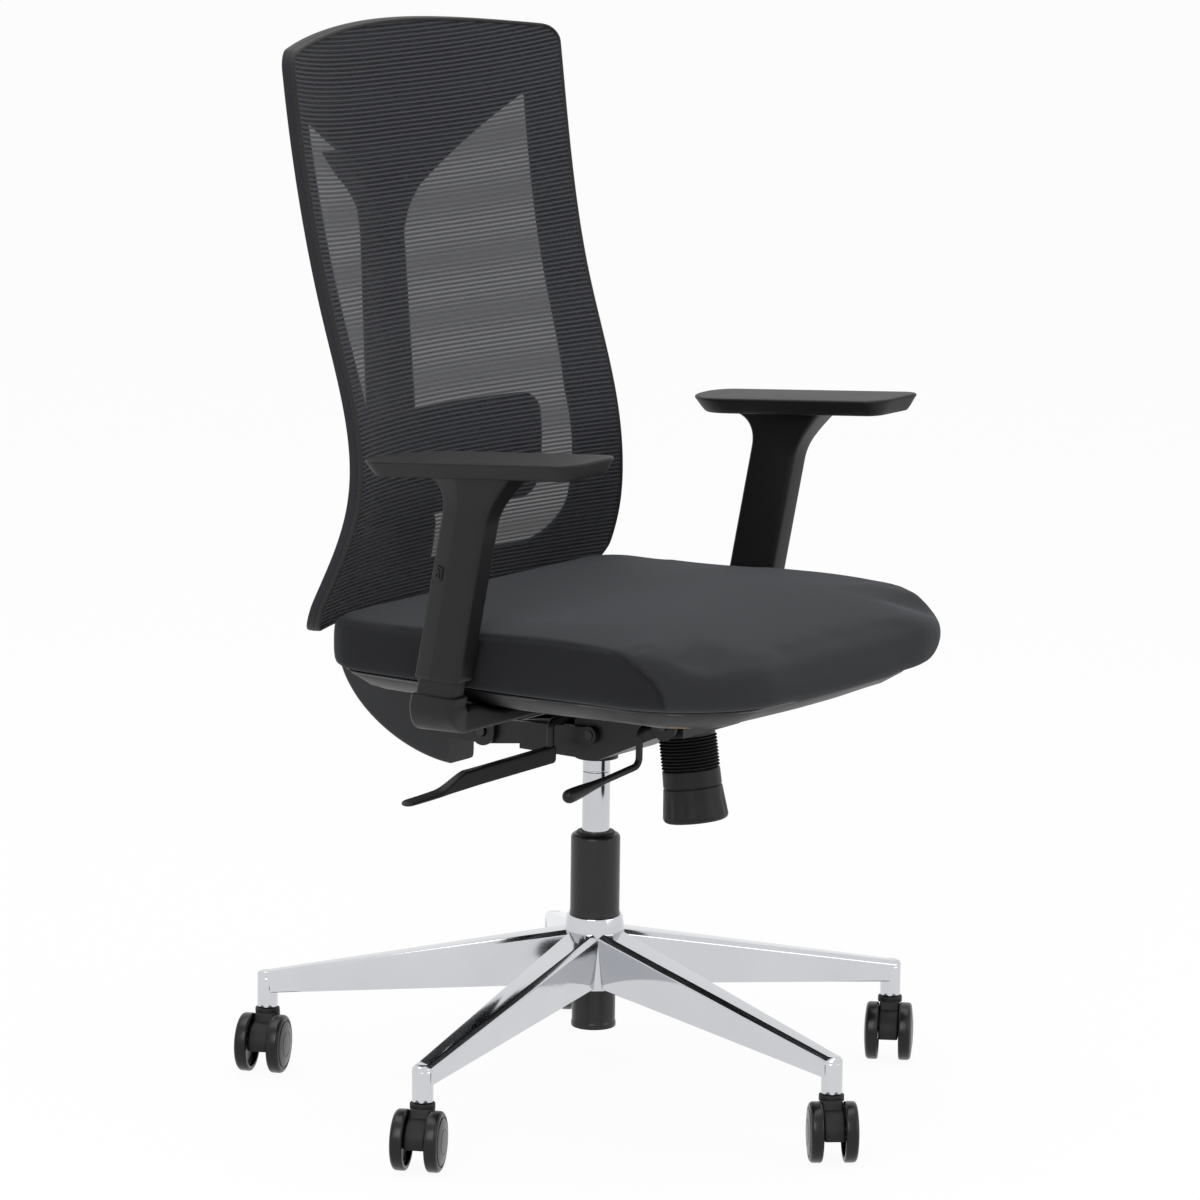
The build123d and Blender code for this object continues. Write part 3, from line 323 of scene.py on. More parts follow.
# finishes
finishes = {
    "chrome": Values(colour=(0.66, 0.67, 0.69), worn=(0.55, 0.56, 0.59), rough=0.07),
    "cylinder": Values(colour=(0.62, 0.63, 0.65), worn=(0.5, 0.51, 0.54), rough=0.13),
    "steel": Values(colour=(0.42, 0.43, 0.45), worn=(0.31, 0.32, 0.34), rough=0.34),
    "bolt": Values(colour=(0.06, 0.061, 0.064), worn=(0.035, 0.036, 0.038), rough=0.36),
    "column": Values(colour=(0.007, 0.007, 0.0075), worn=(0.012, 0.012, 0.013), rough=0.32, gloss=0.4),
    "mechanism": Values(colour=(0.008, 0.008, 0.009), worn=(0.014, 0.014, 0.015), rough=0.42, gloss=0.35),
    "arm": Values(colour=(0.0075, 0.0075, 0.0083), worn=(0.012, 0.012, 0.0132), rough=0.4, grain=0.00004),
    "pad": Values(colour=(0.008, 0.008, 0.0085), worn=(0.0115, 0.0115, 0.0122), rough=0.5, grain=0.00003),
    "shell": Values(colour=(0.013, 0.013, 0.014), worn=(0.019, 0.019, 0.0205), rough=0.44, grain=0.00005, gloss=0.32),
    "spine": Values(colour=(0.015, 0.0155, 0.0175), worn=(0.021, 0.0215, 0.024), rough=0.44, grain=0.00004, gloss=0.3),
    "lever": Values(colour=(0.007, 0.007, 0.0075), worn=(0.011, 0.011, 0.0118), rough=0.4, grain=0.00004),
    "knob": Values(colour=(0.008, 0.008, 0.0085), worn=(0.012, 0.012, 0.0128), rough=0.45, grain=0.00005),
    "hood": Values(colour=(0.009, 0.009, 0.0095), worn=(0.014, 0.014, 0.0148), rough=0.52, grain=0.00006),
    "wheel": Values(colour=(0.0036, 0.0036, 0.004), worn=(0.006, 0.006, 0.0064), rough=0.28, grain=2e-5, gloss=0.26),
    "rubber": Values(colour=(0.006, 0.006, 0.006), worn=(0.01, 0.01, 0.01), rough=0.58, grain=0.00003),
    "nylon": Values(colour=(0.013, 0.013, 0.0135), worn=(0.018, 0.018, 0.0185), rough=0.48, grain=0.00003),
    "backFrame": Values(colour=(0.0065, 0.0065, 0.0075), worn=(0.0095, 0.0095, 0.0105), rough=0.5, grain=0.00004),
}


# bright metal: slow colour drift, faint polishing lines and a little haze in the hollows
def metalFinish(name, lines=900.0):
    f = finishes[name]

    def build(place):
        drift = place.noise(9.0, 2.0)
        x, y, z = splitOf(place)
        brush = place.noise(lines, 2.0, 0.7, at=place.node("ShaderNodeCombineXYZ", X=x * 0.05, Y=y * 0.05, Z=z))
        haze = (place.noise(38.0, 4.0) - 0.42) * 0.5
        return {"Base Color": drift.blend(f.worn, f.colour),
                "Roughness": (f.rough + haze.clamped() * 0.10 + brush * 0.03).clamped(),
                "Normal": (brush * 0.5 + drift).bump(0.00002, 0.4)}
    return makeFinish(name, build, Metallic=1.0)


# painted steel: orange peel and dulled patches
def paintFinish(name):
    f = finishes[name]

    def build(place):
        peel = place.noise(620.0, 2.0)
        cloud = place.noise(26.0, 4.0)
        dust = (place.noise(160.0, 4.0, 0.7) - 0.60).clamped() * 2.0
        return {"Base Color": (cloud * 0.6 + dust).clamped().blend(f.colour, f.worn),
                "Roughness": (f.rough - 0.06 + cloud * 0.14 + dust * 0.10).clamped(),
                "Normal": peel.bump(0.00005, 0.5)}
    return makeFinish(name, build, Specular_IOR_Level=f.gloss)


# moulded plastic: fine spark-eroded grain, slow shade drift, lighter rubs
def plasticFinish(name, **more):
    f = finishes[name]

    def build(place):
        grain = place.node("ShaderNodeTexVoronoi", {"feature": "SMOOTH_F1"}, 0, Vector=place, Scale=1500.0)
        fine = place.noise(3200.0, 2.0)
        drift = place.noise(14.0, 3.0)
        rub = (place.noise(70.0, 5.0, 0.7) - 0.62).clamped() * 2.5
        return {"Base Color": (drift * 0.5 + grain * 0.25 + rub * 0.5).clamped().blend(f.colour, f.worn),
                "Roughness": (f.rough - 0.05 + drift * 0.08 + fine * 0.06 - rub * 0.06).clamped(),
                "Normal": (grain + fine * 0.5).bump(f.grain, 0.5)}
    return makeFinish(name, build, Specular_IOR_Level=f.get("gloss", 0.25), **more)


chrome = metalFinish("chrome", 700.0)
cylinderChrome = metalFinish("cylinder", 1500.0)
plainSteel, boltBlack = metalFinish("steel"), metalFinish("bolt")
columnPaint = paintFinish("column")
mechanismPaint = paintFinish("mechanism")
armPlastic, padSkin = plasticFinish("arm"), plasticFinish("pad")
shellPlastic, spinePlastic = plasticFinish("shell"), plasticFinish("spine")
leverPlastic, knobPlastic = plasticFinish("lever"), plasticFinish("knob")
hoodPlastic, wheelPlastic = plasticFinish("hood"), plasticFinish("wheel", Coat_Weight=0.10, Coat_Roughness=0.15)
bellowsRubber, bushNylon = plasticFinish("rubber"), plasticFinish("nylon")
framePlastic = plasticFinish("backFrame")


# plywood: plies across the board's edge and long grain on its faces
def plywoodFinish():
    def build(place):
        x, y, z = splitOf(place)
        ply = ((z * 4200.0).sine() * 0.5 + 0.5) * 0.5
        grain = place.noise(60.0, 5.0, 0.6, at=place.node("ShaderNodeCombineXYZ", X=x, Y=y * 0.06, Z=z))
        return {"Base Color": (grain * 0.7 + ply * 0.5).clamped().blend((0.35, 0.22, 0.12), (0.56, 0.40, 0.24)),
                "Roughness": 0.55 + grain * 0.25, "Normal": grain.bump(0.0002, 0.4)}
    return makeFinish("plywood", build)


plywood = plywoodFinish()

# painted shade: seam darkens the seam's crease, and side with sideLight are the top cloth darkened for the side wall
weave = Values(pitch=0.0011, seam=(0.005, 0.005, 0.006),
               top=(0.0175, 0.0180, 0.0197), topLight=(0.0255, 0.0260, 0.0284),
               side=(0.0085, 0.0088, 0.0097), sideLight=(0.0140, 0.0143, 0.0155))


# woven seat cloth: crossing threads from two sine sets, felted by noise, painted shade on the side panels and in the
# seam's crease
def seatCloth():
    def build(place):
        x, y, z = splitOf(place)
        turn = fullTurn / weave.pitch
        wobble = place.noise(420.0, 2.0)
        warp = ((x + y * 0.12) * turn + wobble * 2.4).sine() * 0.5 + 0.5
        weft = ((y - x * 0.12 + z) * turn + wobble * 2.4).sine() * 0.5 + 0.5
        thread = (warp * weft + (1 - warp) * (1 - weft)).clamped()
        felt = place.noise(1500.0, 3.0, 0.7)
        mottle = place.noise(55.0, 4.0, 0.6)
        side, seam = attributeOf(place, "sidePanel"), attributeOf(place, "seam")
        light = (thread * 0.35 + felt * 0.35 + mottle * 0.3).clamped()
        top = light.blend(weave.top, weave.topLight)
        # painted shade: the side panels take darker copies of the top cloth
        shadedPanel = light.blend(weave.side, weave.sideLight)
        cloth = side.clamped().blend(top, shadedPanel)
        # painted shade: a dark line along the seam, in its crease
        return {"Base Color": (seam * 0.75).clamped().blend(cloth, weave.seam),
                "Roughness": (0.80 + felt * 0.18).clamped(),
                "Normal": (thread * 0.6 + felt).bump(0.00022, 0.55)}
    return makeFinish("seatCloth", build, Sheen_Weight=0.10, Sheen_Roughness=0.45,
                      Sheen_Tint=(0.75, 0.78, 0.86, 1), Specular_IOR_Level=0.2)


# rimLine is a painted highlight for the rim's rear corner
mesh = Values(dark=(0.0150, 0.0152, 0.0178), light=(0.058, 0.060, 0.069), knit=0.0022, groove=0.36, stitch=5.0,
              frontCover=(0.54, 0.38), rearCover=(0.62, 0.20),  # least cover and what a rib adds
              hem=(0.0135, 0.0125, 0.0120), rim=(0.0110, 0.0115, 0.0155), rimLine=(0.060, 0.067, 0.085))


# ribbed back mesh: the rib attribute counts ribs, so its sine opens slots between the threads; the rear layer's
# slots are shallower, and the two counts beat softly against each other
def backCloth():
    def build(place):
        rib, rear = attributeOf(place, "rib"), attributeOf(place, "rearLayer")
        wave = (rib * fullTurn).sine() * 0.5 + 0.5
        x, y, z = splitOf(place)
        knit = ((x * (fullTurn / mesh.knit)).sine() * 0.5 + 0.5) * 0.14 + 0.86
        fleck = place.noise(900.0, 3.0, 0.7)
        shade = (wave * 0.88 * knit + fleck * 0.12).clamped()
        low, gain = (mesh.frontCover[k] + rear * (mesh.rearCover[k] - mesh.frontCover[k]) for k in (0, 1))
        return {"Base Color": shade.blend(mesh.dark, mesh.light),
                "Roughness": 0.62 + fleck * 0.25, "Alpha": (low + wave * gain).clamped(),
                "Normal": (fleck + knit * 0.4).bump(0.0001, 0.4)}
    return makeFinish("backCloth", build, Sheen_Weight=0.06, Sheen_Roughness=0.4, Specular_IOR_Level=0.2)


# bound edge of the back: band runs 0 to 1 from the mesh's face to the rear; a stitched hem in front, a groove darkened
# by painted shade, then the frame's rim with a painted highlight along its rear corner
def edgeCloth():
    def build(place):
        band, run = attributeOf(place, "band"), attributeOf(place, "run")

        def lineAt(at, width):
            off = (band - at) * (1 / width)
            return (1 - off * off).clamped()
        stitch = ((run * (fullTurn / mesh.stitch)).sine() * 3.0).clamped() * lineAt(mesh.groove * 0.55, 0.07)
        fleck = place.noise(1100.0, 3.0, 0.7)
        onRim = ((band - mesh.groove) * 60.0).clamped()
        base = onRim.blend(mesh.hem, mesh.rim)
        # painted highlight: a lighter line along the rim's rear corner
        highlighted = (lineAt(0.97, 0.05) * 0.85).clamped().blend(base, mesh.rimLine)
        # painted shade: a near-black line darkens the groove between hem and rim
        cut = (lineAt(mesh.groove, 0.035) * 0.8).clamped().blend(highlighted, (0.004, 0.004, 0.005))
        return {"Base Color": (stitch * 0.5 + fleck * 0.12).clamped().blend(cut, (0.030, 0.029, 0.030)),
                "Roughness": 0.50 + fleck * 0.25, "Normal": (fleck * 0.4 + stitch).bump(0.0002, 0.5)}
    return makeFinish("edgeCloth", build, Sheen_Weight=0.06, Sheen_Roughness=0.4, Specular_IOR_Level=0.25)


seatFabric, meshFabric, edgeFabric = seatCloth(), backCloth(), edgeCloth()
print("finishes made:", len(bpy.data.materials))

# star base
base = Values(legs=5, firstAngle=-173.3, reach=341.0, rootLow=112.5, rootHigh=172.5, tipLow=80.5, tipHigh=102.5,
              rootTop=38.0, rootFoot=30.0, tipTop=20.5, tipFoot=18.0, edgeRoot=5.0, edgeTip=4.0, wall=5.0,
              topWall=7.5, bossRadius=10.5, bossLow=64.5, bossHigh=97.0, hubLow=107.6, hubHigh=182.4, hubRadius=30.2,
              shoulderZ=168.0, crownRadius=28.2, boreTop=25.1, boreFoot=22.2, webAngle=9.0, webProud=2.2)


# leg: a drafted section with bevelled top edges shrinks evenly from hub to tip, is hollow below, and ends round
def legGrid():
    b = base
    tip = b.reach + (b.bossRadius - 0.2) * np.sin(np.linspace(0.12, np.pi / 2 - 0.02, 9))
    reach = np.r_[np.linspace(22, 34, 4), np.linspace(40, b.reach - 24, 22),
                  np.linspace(b.reach - 18, b.reach, 5), tip]
    t = np.minimum(reach / b.reach, 1)
    low, high = mix(b.rootLow, b.tipLow, t), mix(b.rootHigh, b.tipHigh, t)
    top, foot = mix(b.rootTop, b.tipTop, t) / 2, mix(b.rootFoot, b.tipFoot, t) / 2
    edge = mix(b.edgeRoot, b.edgeTip, t)
    hollow = ease((reach - 34) / 10) * ease((b.reach - 18 - reach) / 14)
    roof = low + 1.2 + (high - b.topWall - low - 1.2) * hollow
    bevel = np.maximum(high - edge, low + 4)
    wall = b.wall
    corners = np.stack([np.stack(p, -1) for p in [
        (foot, low), (top, bevel), (top - edge, high), (edge - top, high), (-top, bevel), (-foot, low),
        (wall - foot, low), (wall + 1.5 - foot, roof), (foot - wall - 1.5, roof), (foot - wall, low)]], 1)
    loop = roundedLoop(corners, [1.2, 1.8, 2.2, 2.2, 1.8, 1.2, 0.4, 0.5, 0.5, 0.4], 4)
    over = np.clip((reach - b.reach) / (b.bossRadius - 0.1), 0, 1)
    loop[..., 0] *= np.sqrt(1 - over**2)[:, None]
    loop[..., 1] -= (2.2 * over**3)[:, None] * (loop[..., 1] > bevel[:, None])
    return np.concatenate([np.repeat(reach[:, None, None], loop.shape[1], 1), loop], -1)


# base: a turned hub with an upright rib between every two legs, and legs and caster bosses turned round it
def starBase():
    b = base
    leg = legGrid()
    bossProfile = roundedLoop([(0, b.bossLow), (b.bossRadius, b.bossLow), (b.bossRadius, b.bossHigh), (0, b.bossHigh)],
                              [0, 1.4, 2.0, 0], 4, False)
    boss = turned(bossProfile, 40) + [b.reach, 0, 0]
    hubProfile = roundedLoop([(b.boreTop, b.hubHigh), (b.crownRadius, b.hubHigh), (b.hubRadius, b.shoulderZ),
                              (b.hubRadius, b.hubLow), (b.boreFoot, b.hubLow)], [0.3, 1.6, 3.0, 2.0, 0.3], 5)
    hub = turned(hubProfile, 180)
    x, y, z = np.moveaxis(hub, -1, 0)
    a = np.arctan2(y, x) - np.radians(b.firstAngle)
    web = bell((np.mod(a * 5 / (2 * np.pi), 1) - 0.5) / 5 * 360, b.webAngle)
    proud = web * ease((z - 108) / 6) * ease((170 - z) / 14) * (np.hypot(x, y) > 27)
    hub[..., :2] *= 1 + (b.webProud * proud / b.hubRadius)[..., None]
    grids = [(hub, "rc")]
    for k in range(b.legs):
        angle = b.firstAngle + 72 * k
        grids += [(turnedAbout(leg, angle), "ce"), (turnedAbout(boss, angle), "c")]
    return makePiece("starBase", grids, chrome, ["five_star_base"], 28)


starBase()

# gas column
column = Values(tail=22.0, radius=25.0, low=65.5, hubLow=107.5, hubHigh=182.5, high=266.5, cylinder=14.0,
                cylinderTop=352.0, cylinderLow=157.0, coneTop=384.4, bushLow=200.0)


# column: turned profiles of the tapered tube, the bush in its mouth and the cylinder with its groove
def gasColumn():
    c = column
    outside = roundedLoop([(19.5, c.low), (c.tail + 0.7, c.low), (c.tail + 0.7, c.low + 5),
                           (c.tail, c.low + 7), (c.tail, c.hubLow), (c.radius, c.hubHigh - 3),
                           (c.radius + 0.6, c.hubHigh), (c.radius, c.hubHigh + 5), (c.radius, c.high),
                           (c.cylinder + 4, c.high), (c.cylinder + 4, c.high - 40), (19.5, c.low + 30)],
                          [1, 1.5, 1, 1, 2, 1, 0.6, 1, 5.0, 0.8, 1, 1], 6)
    makePiece("columnTube", [(turned(outside, 96), "rc")], columnPaint, ["column_tube"], 50)
    bush = roundedLoop([(c.cylinder + 0.1, c.bushLow), (c.cylinder + 4.5, c.bushLow), (c.cylinder + 4.5, c.high - 0.5),
                        (c.cylinder + 6.0, c.high + 0.2), (c.cylinder + 5.0, c.high + 2),
                        (c.cylinder + 0.1, c.high + 2)], [0.2, 0.3, 0.3, 0.3, 1.0, 0.4], 4)
    makePiece("guideBush", [(turned(bush, 72), "rc")], bushNylon, ["guide_bush"], 50)
    r = c.cylinder
    rod = roundedLoop([(0, c.cylinderLow), (r, c.cylinderLow), (r, 330.0), (r - 0.5, 330.6), (r - 0.5, 331.6),
                       (r, 332.2), (r, c.cylinderTop), (r - 1, c.coneTop), (0, c.coneTop)],
                      [0, 1, 0.2, 0.2, 0.2, 0.2, 1, 0.6, 0], 3, False)
    makePiece("gasCylinder", [(turned(rod, 72), "c")], cylinderChrome, ["gas_cylinder"], 30)


gasColumn()
print("base and column made")

# casters
caster = Values(trail=16.0, wheel=30.0, width=13.0, track=34.0, trailAngles=[-155.5, -140.5, -149.5, -150.0, -157.5],
                hoodBottom=25.5, rear=22.0, neck=12.5)


# wheel: a turned profile with a round tyre edge, a step and a domed outer face; the inner side is hollowed
def wheelGrid():
    c = caster
    r, w = c.wheel, c.width
    profile = roundedLoop([(0, 0.6), (9, 0.6), (9, 5.0), (r - 5, 5.0), (r - 5, 0.2), (r, 0.2), (r, w - 0.4),
                           (r - 4.6, w), (r - 5.2, w - 1.2), (r - 6.4, w - 1.2), (r - 7.0, w + 0.4), (13.5, w + 1.5),
                           (12.8, w + 1.0), (12.0, w + 1.6), (0, w + 2.0)],
                          [0, 0.6, 1.0, 1.0, 0.8, 2.2, 4.0, 0.4, 0.3, 0.3, 0.8, 0.2, 0.2, 0.3, 0], 5, False)
    return turned(profile, 64)


# hood: its side outline, rounded behind over the axle, stacked through its thickness with soft edges
def hoodGrid():
    c = caster
    a = np.radians(np.linspace(-12, 90, 24))
    arc = np.stack([c.trail + c.rear * np.cos(a), 30 + c.rear * np.sin(a)], 1)
    line = np.concatenate([[(-c.neck, c.hoodBottom), (0, c.hoodBottom), (30, c.hoodBottom)], arc,
                           [(c.neck + 0.5, 59.8), (c.neck - 1, 60.2), (1 - c.neck, 60.2), (-c.neck, 59.0)]])
    loop = evenly(line, 120)
    half = c.track / 2 - c.width / 2 - 0.3
    steps = [(2.0, -half), (0.8, -half + 0.35), (0.2, -half + 1.0), (0, -half + 2.0)]
    return stacked(loop, steps + [(d, -h) for d, h in steps[::-1]])


# casters: each stands under a leg's end and trails at its own angle
def casters():
    c = caster
    wheel, hood = wheelGrid(), hoodGrid()
    neck = turned(roundedLoop([(0, 58), (12.5, 58), (12.5, 64.2), (0, 64.2)], [0, 0.3, 1.2, 0], 4, False), 48)
    upright = placed(hood, (0, 0, 0), [(1, 0, 0), (0, 0, 1), (0, -1, 0)])
    for k in range(base.legs):
        leg = np.radians(base.firstAngle + 72 * k)
        foot = [base.reach * np.cos(leg), base.reach * np.sin(leg), 0]

        def stand(points):
            return turnedAbout(points, c.trailAngles[k]) + foot
        name, body = f"caster{k + 1}", f"caster_{k + 1}"
        makePiece(name + "Hood", [(stand(upright), "ce"), (stand(neck), "c")], hoodPlastic,
                  [body + "_hood"])
        for side, tag in [(1, "a"), (-1, "b")]:
            face = side * (c.track - c.width) / 2
            axes = [(1, 0, 0), (0, 0, 1), (0, side, 0)]
            onAxle = placed(wheel, (c.trail, face, c.wheel), axes)
            makePiece(f"{name}Wheel{tag.upper()}", [(stand(onAxle), "c")], wheelPlastic,
                      [f"{body}_wheel_{tag}"])


casters()
print("casters made")

# tilt tension: bellows and hand knob on one leaning axis
knob = Values(top=(0.0, -111.0, 381.5), lean=8.0, bellows=33.0, core=25.0, ribRadius=29.4, ribs=10, length=53.0,
              topRadius=29.0, footRadius=33.4, collar=17.0, dimples=12)


# bellows: folds from the sine's size along the axis; knob: a turned cup with shallow finger hollows
def tensionKnob():
    k = knob
    s, c = np.sin(np.radians(k.lean)), np.cos(np.radians(k.lean))
    axes = [(1, 0, 0), (0, c, -s), (0, s, c)]
    d = np.linspace(0, k.bellows, k.ribs * 12 + 1)
    wave = np.abs(np.sin(np.pi * d * k.ribs / k.bellows)) ** 0.8
    skin = np.stack([k.core + 0.6 + (k.ribRadius - k.core - 0.6) * wave, -d], 1)
    inner = np.stack([np.full(2, k.core - 0.6), [-k.bellows, 0.0]], 1)
    folds = makePiece("bellows", [(placed(turned(np.concatenate([skin, inner]), 72), k.top, axes), "rc")],
                      bellowsRubber, ["spring_bellows"], 0)
    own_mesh(folds)
    start = k.bellows + 0.3
    n = k.length
    line = [(24.8, 0), (k.topRadius, 0), (k.topRadius + 0.5, -k.collar), (k.topRadius - 0.6, -k.collar - 0.5),
            (k.topRadius - 0.6, -k.collar - 1.3), (k.topRadius + 0.7, -k.collar - 1.9),
            (k.footRadius, -n), (0, -n)]
    body = roundedLoop(line, [0.4, 2.0, 0.6, 0.2, 0.2, 0.5, 5.0, 0], 6, False)
    body = np.concatenate([[(0, -30.0), (24.8, -30.0)], body])
    rows = [evenly(body[i:i + 2], 2 if np.linalg.norm(body[i + 1] - body[i]) < 4 else 14, False)[:-1]
            for i in range(len(body) - 1)]
    skin = np.concatenate(rows + [body[-1:]])
    cup = turned(skin, 144)
    a = np.arctan2(cup[..., 1], cup[..., 0]) * k.dimples / (2 * np.pi)
    across = (np.mod(a, 1) - 0.5) * 2 * np.pi * 31 / k.dimples
    hollow = bell(across, 3.0) * bell(cup[..., 2] + k.collar + 19.0, 11.0) * (np.hypot(cup[..., 0], cup[..., 1]) > 28)
    cup[..., :2] *= 1 - (1.1 * hollow / 31)[..., None]
    origin = np.array(k.top) - start * np.array([0, s, c])
    makePiece("tensionKnob", [(placed(cup, origin, axes), "c")], knobPlastic, ["tension_knob"], 50)


tensionKnob()

# hand levers
lever = Values(start=(-80.0, 0.0, 360.3), tip=(-212.0, 84.0, 318.0), barDepth=17.5, cut=0.60,
               lockElbow=(-68.0, -100.0, 360.5), lockEnd=(-150.0, -100.0, 352.5), gripLength=64.0, gripRadius=6.5)


# paddle: a deep bar with a straight lower edge; past the shoulder its top falls in a curve to a thin wide blade
def liftPaddle():
    v = lever
    a, tip = np.array(v.start), np.array(v.tip)
    low = a - [0, 0, v.barDepth * 0.52]
    along = unit(tip - low)
    s = np.r_[np.linspace(0, 0.04, 7), np.linspace(0.06, v.cut, 18), np.linspace(v.cut, 0.95, 34)[1:],
              np.linspace(0.956, 1, 9)]
    foot = low - along * 6 + np.outer(s, tip - low + along * 6)
    fall = np.clip((s - v.cut) / (1 - v.cut), 0, 1)
    fall = mix(ease(fall * 2.2), 1 - (1 - fall) ** 2.6, 0.45)
    thick, wide = mix(v.barDepth, 3.4, fall), mix(6.0, 11.5, ease((s - 0.45) / 0.4))
    length = np.linalg.norm(tip - low) + 6
    ends = np.sqrt(np.clip(1 - (1 - np.clip(s * length / 4, 0, 1)) ** 2, 0.05, 1)) * np.sqrt(
        np.clip(1 - (1 - np.clip((1 - s) * length / 8, 0, 1)) ** 2, 0.02, 1))
    q = np.linspace(0, 2 * np.pi, 56, endpoint=False)
    power = mix(0.36, 0.60, fall)[:, None]
    across = np.sign(np.cos(q)) * np.abs(np.cos(q)) ** power * (wide * ends)[:, None]
    upward = (np.sign(np.sin(q)) * np.abs(np.sin(q)) ** power * mix(1, ends, 0.7)[:, None] + 1) * thick[:, None] / 2
    side = unit(np.cross(along, [0, 0, 1.0]))
    grid = foot[:, None] + across[..., None] * side + upward[..., None] * np.array([0, 0, 1.0])
    makePiece("liftPaddle", [(grid, "ce")], leverPlastic, ["lift_lever_paddle"])


# grip: a turned bulb, slimmer where the wire enters and full towards its round end
def lockGrip():
    v = lever
    elbow, end = np.array(v.lockElbow), np.array(v.lockEnd)
    along = unit(end - elbow)
    start = end - along * v.gripLength / 3
    d = np.linspace(0, 1, 60)
    tail = np.clip((d - 0.86) / 0.14, 0, 1) ** 2.4
    radius = v.gripRadius * mix(0.62, 1.08, ease(d * 1.15)) * np.sqrt(np.clip(1 - tail, 0, 1))
    radius *= np.sqrt(np.clip(1 - np.clip((0.03 - d) / 0.03, 0, 1) ** 2, 0.3, 1))
    profile = np.concatenate([[(0, 0)], np.stack([radius, d * v.gripLength], 1)])
    makePiece("lockGrip", [(placed(turned(profile, 48), start, [(0, 1, 0), np.cross(along, (0, 1, 0)), along]), "c")],
              leverPlastic, ["lock_lever_grip"])


liftPaddle()
lockGrip()
print("knob and levers made")

# backrest
back = Values(seatZ=424.5, dish=48.0, frameOffset=2.7, frameThick=14.0,
              side=[(171, 62), (139, 142), (130, 202), (139, 272), (169, 372), (193, 472), (219.5, 648)],
              flank=[(243, 92), (224.5, 182), (215.5, 272), (214.5, 340), (221.5, 614)],
              foot=(236.0, 60.5), footCorner=16.0, topCorner=(206.0, 631.0), topRise=646.0,
              window=[(22, 475), (186, 566), (170, 260), (185, 100)], windowCorner=45.0,
              pitch=4.5, rearPitch=4.17, ribHeight=0.55, wrap=17.4)
sideY = splineThrough([z + back.seatZ for y, z in back.side], [y for y, z in back.side])
flankX = splineThrough([z + back.seatZ for x, z in back.flank], [x for x, z in back.flank], (-0.1, 0.0))


# dished sheet: level arcs through the two edges, each as deep as the dish, moved back by an offset
def backY(x, z, offset=0.0):
    w = flankX(z)
    radius = (w**2 + back.dish ** 2) / (2 * back.dish)
    return sideY(z) + back.dish - radius + np.sqrt(np.maximum((radius + offset) ** 2 - x**2, 1))


# right half of the front outline from bottom middle to top middle, as (x, z): foot, flank and crowned top
def halfOutline(n=60):
    zs, b = back.seatZ, back
    hip, shoulder = b.flank[0], b.flank[-1]
    foot = (b.foot[0] - b.footCorner, b.foot[1])
    bottom = np.concatenate([np.linspace((0, foot[1]), foot, n)[:-1], hermite(foot, hip, (1, 0), (-0.1, 1), 24)])
    z = np.linspace(hip[1], shoulder[1], 3 * n)
    flank = np.stack([flankX(z + zs), z], 1)
    top = np.concatenate([hermite(shoulder, b.topCorner, (0, 1), (-1, 0.12), 24)[:-1],
                          hermite(b.topCorner, (0, b.topRise), (-1, 0.12), (-1, 0), n)])
    return [part + [0, zs] for part in (bottom, flank, top)]


# the whole outline: the half and its mirror, spread evenly
def fullOutline(count):
    half = np.concatenate([part[:-1] for part in halfOutline()] + [halfOutline()[2][-1:]])
    return evenly(np.concatenate([half, (half * [-1, 1])[-2:0:-1]]), count)


# Coons patch over four edges of the front outline: foot, crown and two flanks
def backPatch(rows, cols, margin):
    bottom, flank, top = halfOutline()
    foot = evenly(np.concatenate([(bottom * [-1, 1])[:0:-1], bottom]), cols, False)
    crown = evenly(np.concatenate([top, (top * [-1, 1])[-2::-1]]), cols, False)[::-1]
    right = evenly(flank, rows, False)
    left = right * [-1, 1]
    u, v = np.linspace(0, 1, cols)[None, :, None], np.linspace(0, 1, rows)[:, None, None]
    patch = ((1 - v) * foot[None] + v * crown[None] + (1 - u) * left[:, None] + u * right[:, None]
             - (1 - u) * (1 - v) * foot[0] - u * (1 - v) * foot[-1] - (1 - u) * v * crown[0] - u * v * crown[-1])
    middle = np.array([0, 780.0])
    return middle + (patch - middle) * (1 - margin / np.array([230.0, 290.0]))


# rib count at a place: ribs are level low down and sag in the middle towards the top
def ribAt(x, z, pitch):
    share = np.abs(x) / 222.0
    sag = 4 + 12 * ease((z - 620) / 420)
    return (z - sag * share**2.4) / pitch


# mesh: two layers over the dished sheet, the front one raised in ribs by the sine of the rib count
def backMesh():
    b = back
    rows, cols = 760, 46
    flat = backPatch(rows, cols, 0.2)
    x, z = flat[..., 0], flat[..., 1]
    frontRib = ribAt(x, z, b.pitch)
    edge = np.ones((rows, cols))
    edge[:2], edge[-2:], edge[:, :1], edge[:, -1:] = 0, 0, 0, 0
    lift = b.ribHeight * (np.sin(2 * np.pi * frontRib) - 1) * edge
    front = np.stack([x, backY(x, z, 0.9) - lift * 0.5, z], -1)
    rear = np.stack([x, backY(x, z, 2.0), z], -1)
    rearRib = ribAt(x, z, b.rearPitch)
    tube = np.concatenate([front, rear[:, ::-1]], 1)
    rib = np.concatenate([frontRib, rearRib[:, ::-1]], 1)
    layer = np.repeat(np.arange(2.0), cols) * np.ones((rows, 1))
    return makePiece("backMesh", [(tube, "ce")], meshFabric, ["back_mesh"], 0, False,
                     {"rib": rib, "rearLayer": layer})


